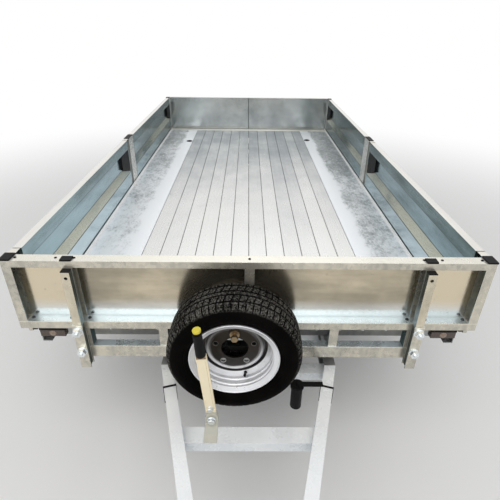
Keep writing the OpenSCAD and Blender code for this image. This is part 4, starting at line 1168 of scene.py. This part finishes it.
@dataclass
class Wheels:
    """Road wheels and the spare: tyres, valves, rim rings and the seats of the spare's holes."""

    axle_x: float = 0.841
    hole_r: float = 0.08255
    hole_turn: float = 90.0
    hole_step: float = 72.0
    disc_out: float = 0.010
    seat: Band = (0.0108, 0.0014)
    # Radius, distance from the middle and thickness of each ring
    ridges: Sequence[Point] = ((0.1795, 0.0780, 0.0036), (0.1590, 0.0560, 0.0052), (0.1580, 0.0300, 0.0056),
                               (0.1120, 0.0015, 0.0100))
    valve_seat: Point = (0.148, 0.0, 0.004)
    valve_turn: float = -72.0
    valve_lean: float = -24.0
    valve_line: Sequence[Band] = ((0.008, -0.004), (0.008, 0.004), (0.0052, 0.010), (0.005, 0.024),
                                  (0.0058, 0.026), (0.0058, 0.038), (0.004, 0.041))

    def build(self) -> None:
        """Builds every tyre, valve and set of rings, and the spare's hole seats."""
        for side, sign in SIDES.items():
            for end, y in WHEEL_YS.items():
                where = facing((sign * self.axle_x, y, AXLE_Z), (sign, 0.0, 0.0))
                tag = f"{end}_{side}"
                body = f"wheel_{tag}"
                Tyre().build(f"road_tyre_{tag}", body, f"tyre_{tag}", where, TREADS[f"tyre_{tag}"])
                self.valve(f"valve_{tag}", body, where)
                self.rings(f"rim_rings_{tag}", body, where, RIM_ENAMELS[f"rim_{tag}"])
        where = facing(SPARE_HUB, AHEAD)
        Tyre().build("spare_tyre_tread", Body.BED.value, "spare_tyre", where, SPARE_TREAD)
        self.valve("valve_spare", Body.BED.value, where)
        self.rings("rim_rings_spare", Body.BED.value, where, SPARE_ENAMEL)
        self.seats(where)

    def seats(self, where: Matrix) -> None:
        """Raised seats round the bolt holes of the spare's disc that its clamp leaves free.

        Args:
            where: Middle of the wheel, with Z along its axle.
        """
        shape = Shape()
        radius, thick = self.seat
        for k in range(1, 5):
            turn = Matrix.Rotation(math.radians(self.hole_turn + self.hole_step * k), 4, "Z")
            hole = where @ turn @ Matrix.Translation((self.hole_r, 0.0, self.disc_out))
            shape.hoop(radius, 0.0, thick, hole, sides=28)
        shape.piece("spare_hole_seats", Body.BED.value, HOLE_ENAMEL, ROUND)

    def rings(self, name: str, body: str, where: Matrix, finish: Finish) -> None:
        """The rolled edge of a rim, the ridges of its barrel and the rim of its dish.

        Args:
            name: The piece's name.
            body: Body that carries it.
            where: Middle of the wheel, with Z along its axle.
            finish: The rim's enamel.
        """
        shape = Shape()
        for radius, out, thick in self.ridges:
            shape.hoop(radius, out, thick, where, steps=10)
        shape.piece(name, body, finish, ROUND)

    def valve(self, name: str, body: str, where: Matrix) -> None:
        """A rubber valve stem with its cap, in the rim's well.

        Args:
            name: The piece's name.
            body: Body that carries it.
            where: Middle of the wheel, with Z along its axle.
        """
        turn = Matrix.Rotation(math.radians(self.valve_turn), 4, "Z")
        lean = Matrix.Rotation(math.radians(self.valve_lean), 4, "Y")
        shape = Shape()
        seat = where @ turn @ Matrix.Translation(self.valve_seat)
        shape.lathe(self.valve_line, seat @ lean, sides=14)
        shape.piece(name, body, BLACK)


@dataclass
class Headboard:
    """Fasteners of the headboard, covers of the posts' lips, and the marker lamps' housings and eyes."""

    front: float = -1.106
    ledge: float = 0.783
    top: float = 1.090
    bolt_in: float = 0.026
    bolt_x: Sequence[float] = (0.938, 0.772, 0.694)
    bolt_size: Band = (0.011, 0.006)
    rivet_x: Sequence[float] = (-0.940, -0.778, -0.704, 0.0, 0.704, 0.778, 0.940)
    rivet_r: float = 0.0058
    lips: Sequence[Band] = ((-1.0540, -1.0110), (0.6420, 0.6870))
    lip_x: Band = (0.9535, 0.9893)
    lip_rise: Band = (-0.0004, 0.0016)
    lip_edge: float = 0.0006
    # Corners of each lamp's housings, with Y counted from the front, and the radius of their edges
    housings: Sequence[tuple[Point, Point, float]] = (
        ((0.800, -0.0015, 0.733), (0.914, 0.036, 0.7448), 0.003),
        ((0.922, 0.002, 0.735), (0.942, 0.030, 0.7446), 0.002))
    eye: Point = (0.859, 0.001, 0.716)
    eye_line: Sequence[Band] = ((0.0150, -0.001), (0.0150, 0.0005), (0.0120, 0.0017), (0.0050, 0.0020))

    def build(self) -> None:
        """Builds the fasteners, the lamps' parts and the covers."""
        self.bolts()
        self.markers()
        self.corner_tops()

    def corner_tops(self) -> None:
        """Cover plates over the set-back lips beside the corner and middle posts."""
        shape = Shape()
        low, high = (self.top + rise for rise in self.lip_rise)
        for sign in SIDES.values():
            for start, end in self.lips:
                shape.mirrored(sign, (self.lip_x[0], start, low), (self.lip_x[1], end, high), self.lip_edge)
        shape.piece("corner_tops", Body.BED.value, RAIL_ZINC, CRISP)

    def bolts(self) -> None:
        """Bolts beside the posts on the ledge, and rivets on the top rail."""
        y = self.front + self.bolt_in
        shape = Shape()
        for sign in SIDES.values():
            for x in self.bolt_x:
                shape.bolt(facing((sign * x, y, self.ledge), UP), *self.bolt_size)
        shape.piece("ledge_bolts", Body.BED.value, DARK, CRISP)
        shape = Shape()
        for x in self.rivet_x:
            shape.rivet(facing((x, y, self.top), UP), self.rivet_r)
        shape.piece("top_rail_rivets", Body.BED.value, BLACK)

    def markers(self) -> None:
        """Housings over the marker lamps, and the eyes in their lenses."""
        shape = Shape()
        for sign in SIDES.values():
            for low, high, edge in self.housings:
                shape.mirrored(sign, (low[0], self.front + low[1], low[2]),
                               (high[0], self.front + high[1], high[2]), edge)
        shape.piece("marker_housings", Body.BED.value, BLACK)
        shape = Shape()
        x, y, z = self.eye
        for sign in SIDES.values():
            shape.lathe(self.eye_line, facing((sign * x, self.front + y, z), AHEAD))
        shape.piece("marker_eyes", Body.BED.value, MARKER_EYE)


@dataclass
class Drawbar:
    """Ties, bolts and welds of the drawbar, the handbrake's button and collar, and the crank's grip."""

    tie_y: float = -1.228
    # Distance out from the member and place along it, round the strap's section
    strap: Sequence[Band] = ((0.0002, -0.0045), (0.0022, -0.0045), (0.0022, 0.0045), (0.0002, 0.0045))
    slope: float = 0.286
    root_x: float = 0.377
    root_y: float = -1.106
    half: float = 0.0265
    low: float = 0.440
    high: float = 0.530
    cross_y: Band = (-1.4675, -1.3945)
    cross_top: float = 0.508
    weld_r: float = 0.0036
    weld_rise: float = 0.004
    # Seat, direction, width across the flats and height of each bolt
    fixings: Sequence[tuple[Point, Point, float, float]] = (
        ((-0.1524, -1.374, 0.574), AHEAD, 0.019, 0.013), ((-0.148, -1.3885, 0.524), AHEAD, 0.026, 0.014),
        ((-0.098, -2.078, 0.540), UP, 0.019, 0.012), ((-0.098, -1.994, 0.540), UP, 0.019, 0.012),
        ((0.098, -2.078, 0.540), UP, 0.019, 0.012), ((0.098, -1.994, 0.540), UP, 0.019, 0.012))
    pivot: Point = (-0.148, -1.368, 0.524)
    lever_lean: float = -5.03
    # Half width, half depth, start and end along the lever, and edge of each block of the collar
    collar_blocks: Sequence[tuple[float, ...]] = ((0.0180, 0.0085, 0.3190, 0.3335, 0.0015),
                                                  (0.0150, 0.0105, 0.3230, 0.3295, 0.0012))
    button_in: float = 0.0165
    button_sink: float = 0.002
    button_way: Point = (-0.052, 0.0, 0.40)
    button_line: Sequence[Band] = ((0.0150, -0.004), (0.0160, 0.002), (0.0160, 0.0055), (0.0148, 0.0072),
                                   (0.0090, 0.0080), (0.0085, 0.0072), (0.0030, 0.0070))
    crank_x: float = 0.185
    crank_in: float = 0.012
    grip_drop: float = 0.0845
    # Radius and height of the grip's foot, of one rib and of its end
    grip_foot: Sequence[Band] = ((0.0122, 0.0), (0.0150, 0.001))
    grip_rib: Sequence[Band] = ((0.0150, 0.004), (0.0137, 0.006), (0.0137, 0.010))
    grip_end: Sequence[Band] = ((0.0150, 0.0815), (0.0140, 0.0842), (0.0080, 0.0852))
    grip_ribs: int = 7
    rib_step: float = 0.011

    def middle(self, y: float) -> float:
        """Distance of a member's middle line from the centre at a place along Y."""
        return self.root_x + self.slope * (y - self.root_y)

    def build(self) -> None:
        """Builds the ties, the handbrake's fittings, the bolts, the welds and the grip."""
        shape = Shape()
        for sign in SIDES.values():
            self.tie(shape, sign)
        shape.piece("drawbar_ties", Body.CHASSIS.value, BLACK)
        self.button()
        self.collar()
        self.bolts()
        self.welds()
        self.crank_grip()

    def bolts(self) -> None:
        """Bolts of the handbrake lever and the coupling."""
        shape = Shape()
        for seat, way, across, height in self.fixings:
            shape.bolt(facing(seat, way), across, height)
        shape.piece("drawbar_bolts", Body.CHASSIS.value, CLAMP, CRISP)

    def welds(self) -> None:
        """Weld beads where the cross piece and the members meet."""
        shape = Shape()
        half = self.half / math.cos(math.atan(self.slope))
        for sign in SIDES.values():
            for y in self.cross_y:
                x = sign * (self.middle(y) - half)
                foot = Vector((x, y, self.low + self.weld_rise))
                shape.bead(foot, Vector((x, y, self.cross_top)), self.weld_r)
        shape.piece("drawbar_welds", Body.CHASSIS.value, DRAW_ZINC, ROUND)

    def crank_grip(self) -> None:
        """The ribbed grip on the jockey wheel's crank."""
        low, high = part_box("jockey_sleeve")
        outline = list(self.grip_foot)
        for k in range(self.grip_ribs):
            outline += [(r, z + k * self.rib_step) for r, z in self.grip_rib]
        outline += self.grip_end
        place = Matrix.Translation((self.crank_x, low.y + self.crank_in, high.z - self.grip_drop))
        shape = Shape()
        shape.lathe(outline, place, sides=28)
        shape.piece("crank_grip", Body.CHASSIS.value, BLACK)

    def tie(self, shape: Shape, sign: float) -> None:
        """A strap round one member, square to it.

        Args:
            shape: Mesh that takes the strap.
            sign: Side of the trailer.
        """
        angle = math.atan(self.slope)
        across = Vector((math.cos(angle), -math.sin(angle), 0.0))
        along = Vector((math.sin(angle), math.cos(angle), 0.0))
        centre = Vector((self.middle(self.tie_y), self.tie_y, 0.0))
        rows = []
        for out, shift in self.strap:
            wide, low, high = self.half + out, self.low - out, self.high + out
            row = []
            for a, z in ((-wide, low), (wide, low), (wide, high), (-wide, high)):
                spot = centre + across * a + along * shift
                row.append(Vector((sign * spot.x, spot.y, z)))
            rows.append(row)
        shape.skin(rows, loop=True)

    def collar(self) -> None:
        """The bronzed collar between the handbrake's lever and its grip."""
        lean = Matrix.Translation(self.pivot) @ Matrix.Rotation(math.radians(self.lever_lean), 4, "Y")
        shape = Shape()
        for wide, deep, start, end, edge in self.collar_blocks:
            shape.block((-wide, -deep, start), (wide, deep, end), edge, lean)
        shape.piece("handbrake_collar", Body.CHASSIS.value, CARRIER, FIRM)

    def button(self) -> None:
        """The yellow release button on top of the handbrake's grip."""
        low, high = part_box("handbrake_grip")
        top = (low.x + self.button_in, (low.y + high.y) / 2, high.z - self.button_sink)
        shape = Shape()
        shape.lathe(self.button_line, facing(top, self.button_way), sides=32)
        shape.piece("handbrake_button", Body.CHASSIS.value, YELLOW)


@dataclass
class Bed:
    """Fittings of the deck, the folding sides, the tailboard, their hinges and the rear lamps."""

    deck: float = 0.720
    rear: float = 2.550
    half: float = 0.9415
    strip: float = 0.098
    strip_rise: Band = (-0.0002, 0.0018)
    strip_end: float = 0.001
    strip_edge: float = 0.0008
    screws: int = 13
    screw_in: Band = (0.04, 0.05)
    screw_r: float = 0.0065
    eyes: Sequence[Band] = ((-0.660, 1.972), (0.660, 2.048))
    eye_rim: Sequence[Band] = ((0.021, -0.0005), (0.032, -0.0005), (0.032, 0.0018), (0.030, 0.0028),
                               (0.022, 0.0028))
    eye_ring: Point = (0.0135, 0.0038, 0.0035)
    eye_floor: Sequence[Band] = ((0.0215, -0.0004), (0.0215, 0.0006), (0.004, 0.0008))
    # End of the side that a latch sits on, and its place along Y
    paddles: Sequence[tuple[str, float, float]] = (
        ("front", -0.984, -0.874), ("front", 0.506, 0.616), ("rear", 2.376, 2.486))
    paddle_z: Band = (0.922, 1.006)
    paddle_x: Point = (0.985, 0.9882, 0.9896)
    rim: float = 0.007
    bar_in: float = 0.018
    bar_z: Band = (0.022, 0.044)
    pull_edge: float = 0.0012
    # Ends of the tailboard's hand bars and how far its catches stand in from them
    tail_x: Band = (0.014, 0.078)
    catch_in: float = 0.008
    # Rise over the latch, place down from its top or up from its foot, and edge of bar and catch
    tail_bar: Sequence[float] = (0.0045, 0.050, 0.030, 0.0014)
    tail_catch: Sequence[float] = (0.002, 0.018, 0.060, 0.0010)
    hinge_y: Sequence[float] = (-0.807, -0.184, 0.439, 1.020, 1.661, 2.302)
    pin: Band = (0.981, 0.676)
    pin_half: float = 0.0304
    pin_r: float = 0.0075
    lenses: Sequence[tuple[str, Finish, float, float]] = (
        ("amber", AMBER, 0.812, 0.867), ("red", RED, 0.752, 0.809), ("clear", CLEAR, 0.693, 0.749))
    lens_z: Band = (0.3765, 0.4435)
    lens_rise: float = 0.005
    lens_edge: float = 0.003
    sink: float = 0.002

    def build(self) -> None:
        """Builds the deck's strip and eyes, the handles, the lenses and the hinge pins' heads."""
        self.end_strip()
        self.lashing()
        self.handles()
        self.tail_handles()
        self.lamp_lenses()
        self.pin_heads()

    def pin_heads(self) -> None:
        """Domed ends of the hinge pins along both sides."""
        x, z = self.pin
        shape = Shape()
        for sign in SIDES.values():
            for y in self.hinge_y:
                for way in (-1.0, 1.0):
                    seat = (sign * x, y + way * self.pin_half, z)
                    shape.rivet(facing(seat, (0.0, way, 0.0)), self.pin_r)
        shape.piece("hinge_pin_heads", Body.BED.value, PLATED)

    def end_strip(self) -> None:
        """The bright plate across the rear end of the deck, and its screws."""
        low, high = (self.deck + rise for rise in self.strip_rise)
        shape = Shape()
        shape.block((-self.half, self.rear - self.strip, low),
                    (self.half, self.rear - self.strip_end, high), self.strip_edge)
        shape.piece("deck_end_strip", Body.BED.value, END_STRIP, CRISP)
        shape = Shape()
        across, along = self.screw_in
        for k in range(self.screws):
            x = -self.half + across + k * (2 * self.half - 2 * across) / (self.screws - 1)
            shape.rivet(facing((x, self.rear - along, high), UP), self.screw_r)
        shape.piece("deck_end_screws", Body.BED.value, PLATED)

    def lashing(self) -> None:
        """Dark recessed lashing eyes in the margins."""
        shape = Shape()
        for x, y in self.eyes:
            seat = Matrix.Translation((x, y, self.deck))
            shape.lathe(self.eye_rim, seat, sides=36, loop=True)
            shape.hoop(*self.eye_ring, seat, sides=28)
            shape.lathe(self.eye_floor, seat, sides=28)
        shape.piece("lashing_eyes", Body.BED.value, BLACK)

    def handles(self) -> None:
        """Pulls of the latches on the outer faces of the folding sides."""
        for side, sign in SIDES.items():
            for end in WHEEL_YS:
                shape = Shape()
                for tag, start, stop in self.paddles:
                    if tag == end:
                        self.pull(shape, sign, start, stop)
                shape.piece(f"latch_pulls_{end}_{side}", f"side_{end}_{side}", BLACK, FIRM)

    def pull(self, shape: Shape, sign: float, start: float, stop: float) -> None:
        """A raised rim and a hand bar on one latch.

        Args:
            shape: Mesh that takes them.
            sign: Side of the trailer.
            start: Front end of the latch.
            stop: Rear end of the latch.
        """
        low, high = self.paddle_z
        seat, face, proud = self.paddle_x
        for y0, y1, z0, z1, out in (
                (start, stop, low, low + self.rim, face), (start, stop, high - self.rim, high, face),
                (start, start + self.rim, low, high, face), (stop - self.rim, stop, low, high, face),
                (start + self.bar_in, stop - self.bar_in, low + self.bar_z[0], low + self.bar_z[1], proud)):
            shape.mirrored(sign, (seat, y0, z0), (out, y1, z1), self.pull_edge)

    def tail_handles(self) -> None:
        """Hand bars and catches of the tailboard's latches."""
        low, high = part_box("tailboard_latches")
        outer, inner = (high.x - x for x in self.tail_x)
        seat = high.y - self.sink
        shape = Shape()
        for sign in SIDES.values():
            rise, start, end, edge = self.tail_bar
            shape.mirrored(sign, (outer, seat, high.z - start), (inner, high.y + rise, high.z - end), edge)
            rise, start, end, edge = self.tail_catch
            shape.mirrored(sign, (outer - self.catch_in, seat, low.z + start),
                           (inner + self.catch_in, high.y + rise, low.z + end), edge)
        shape.piece("tailboard_pulls", Body.TAILBOARD.value, BLACK, FIRM)

    def lamp_lenses(self) -> None:
        """Lens segments on the faces of the rear lamps."""
        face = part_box("rear_lamps")[1].y
        low, high = self.lens_z
        for name, finish, inner, outer in self.lenses:
            shape = Shape()
            for sign in SIDES.values():
                shape.mirrored(sign, (inner, face - self.sink, low),
                               (outer, face + self.lens_rise, high), self.lens_edge)
            shape.piece(f"lamp_lens_{name}", Body.CHASSIS.value, finish, MILD)


@dataclass(frozen=True)
class Lamp:
    """A large soft lamp."""

    name: str
    spot: Point
    aim: Point
    size: float
    power: float
    tint: Colour

    def hang(self) -> None:
        """Adds the lamp, out of the camera's sight."""
        data = bpy.data.lights.new(self.name, "AREA")
        data.shape = "DISK"
        data.size = self.size
        data.energy = self.power
        data.color = self.tint
        made = bpy.data.objects.new(self.name, data)
        made.location = self.spot
        made.visible_camera = False
        made.rotation_euler = (Vector(self.aim) - Vector(self.spot)).to_track_quat("-Z", "Y").to_euler()
        bpy.context.scene.collection.objects.link(made)


@dataclass
class Studio:
    """Floor, light and the camera at the photograph's viewing angle."""

    floor_reach: float = 40.0
    floor_drop: float = 0.001
    floor_tone: Colour = (0.93, 0.93, 0.925)
    fade: Band = (2.2, 6.5)
    white: Colour = (1.0, 1.0, 1.0)
    dim: float = 0.5
    lamps: Sequence[Lamp] = (
        Lamp("key", (-0.4, -4.2, 5.4), (0.0, 0.0, 0.6), 7.0, 165.0, (1.0, 0.98, 0.95)),
        Lamp("fill", (0.4, 3.8, 7.0), (0.0, 0.6, 0.6), 8.0, 75.0, (0.95, 0.98, 1.0)))
    eye: Point = (-0.012, -2.449, 1.950)
    focal: float = 400.9
    centre_v: float = 229.0
    pitch: float = 27.85
    yaw: float = 0.50
    roll: float = 0.67
    sensor: float = 36.0
    near: float = 0.05

    def build(self) -> None:
        """Builds floor, light and camera."""
        self.floor()
        self.light()
        self.camera()

    def floor(self) -> None:
        """A plain pale floor that fades into the backdrop."""
        data = bpy.data.meshes.new("floor")
        corners = ((-1.0, -1.0), (1.0, -1.0), (1.0, 1.0), (-1.0, 1.0))
        data.from_pydata([(x * self.floor_reach, y * self.floor_reach, -self.floor_drop) for x, y in corners],
                         [], [(0, 1, 2, 3)])
        material = bpy.data.materials.new("studio_floor")
        shader = Shader(material)
        away = shader.make("ShaderNodeVectorMath", {"operation": "LENGTH"}, {0: shader.place()}, out="Value")
        seen = shader.make("ShaderNodeLightPath", out="Is Camera Ray")
        glossy = shader.make("ShaderNodeLightPath", out="Is Glossy Ray")
        matte = shader.make("ShaderNodeBsdfDiffuse", values={"Color": self.floor_tone})
        glow = shader.make("ShaderNodeEmission", values={"Color": self.white})
        share = away.rise(*self.fade) * (seen + glossy)
        both = shader.make("ShaderNodeMixShader", values={0: share, 1: matte, 2: glow})
        shader.make("ShaderNodeOutputMaterial", values={"Surface": both})
        data.materials.append(material)
        made = bpy.data.objects.new("floor", data)
        bpy.context.scene.collection.objects.link(made)

    def light(self) -> None:
        """A pale world, white where it is seen or mirrored, and two large soft lamps."""
        world = bpy.data.worlds.new("studio")
        bpy.context.scene.world = world
        shader = Shader(world)
        seen = shader.make("ShaderNodeLightPath", out="Is Camera Ray")
        glossy = shader.make("ShaderNodeLightPath", out="Is Glossy Ray")
        either = shader.make("ShaderNodeMath", {"operation": "MAXIMUM"}, {0: seen, 1: glossy})
        glow = shader.make("ShaderNodeBackground", values={
            "Color": self.white, "Strength": self.dim + either * (1.0 - self.dim)})
        shader.make("ShaderNodeOutputWorld", values={"Surface": glow})
        for lamp in self.lamps:
            lamp.hang()
        bpy.context.scene.view_settings.view_transform = "Standard"

    def camera(self) -> None:
        """The camera, from its place, angles and focal length in pixels."""
        pitch, yaw, roll = (math.radians(a) for a in (self.pitch, self.yaw, self.roll))
        ahead = Vector((math.sin(yaw) * math.cos(pitch), math.cos(yaw) * math.cos(pitch), -math.sin(pitch)))
        level = Vector((math.cos(yaw), -math.sin(yaw), 0.0))
        rise = level.cross(ahead)
        right = level * math.cos(roll) + rise * math.sin(roll)
        up = rise * math.cos(roll) - level * math.sin(roll)
        lens = bpy.data.cameras.new("camera")
        lens.sensor_width = self.sensor
        lens.lens = self.focal / PICTURE * self.sensor
        lens.shift_y = (self.centre_v - PICTURE / 2) / PICTURE
        lens.clip_start = self.near
        made = bpy.data.objects.new("camera", lens)
        turn = Matrix((right, up, -ahead)).transposed().to_4x4()
        made.matrix_world = Matrix.Translation(Vector(self.eye)) @ turn
        bpy.context.scene.collection.objects.link(made)
        bpy.context.scene.camera = made


def dress(nodes: dict[str, bpy.types.Object]) -> None:
    """Gives every CAD node its finish.

    Args:
        nodes: CAD nodes by name.
    """
    for name, node in nodes.items():
        finish = NODE_FINISHES[name]
        node.data.materials.clear()
        node.data.materials.append(finish.material())
        log.info("node %s: %s", name, finish.name)


def main() -> None:
    """Builds the looks in order."""
    logging.basicConfig(level=logging.INFO, format="%(message)s")
    for old in list(bpy.data.objects):
        bpy.data.objects.remove(old)
    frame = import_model()
    Studio().build()
    dress(frame["nodes"])
    for part in (Wheels(), Headboard(), Bed(), Drawbar()):
        log.info("building %s", type(part).__name__)
        part.build()


if __name__ == "__main__":
    main()
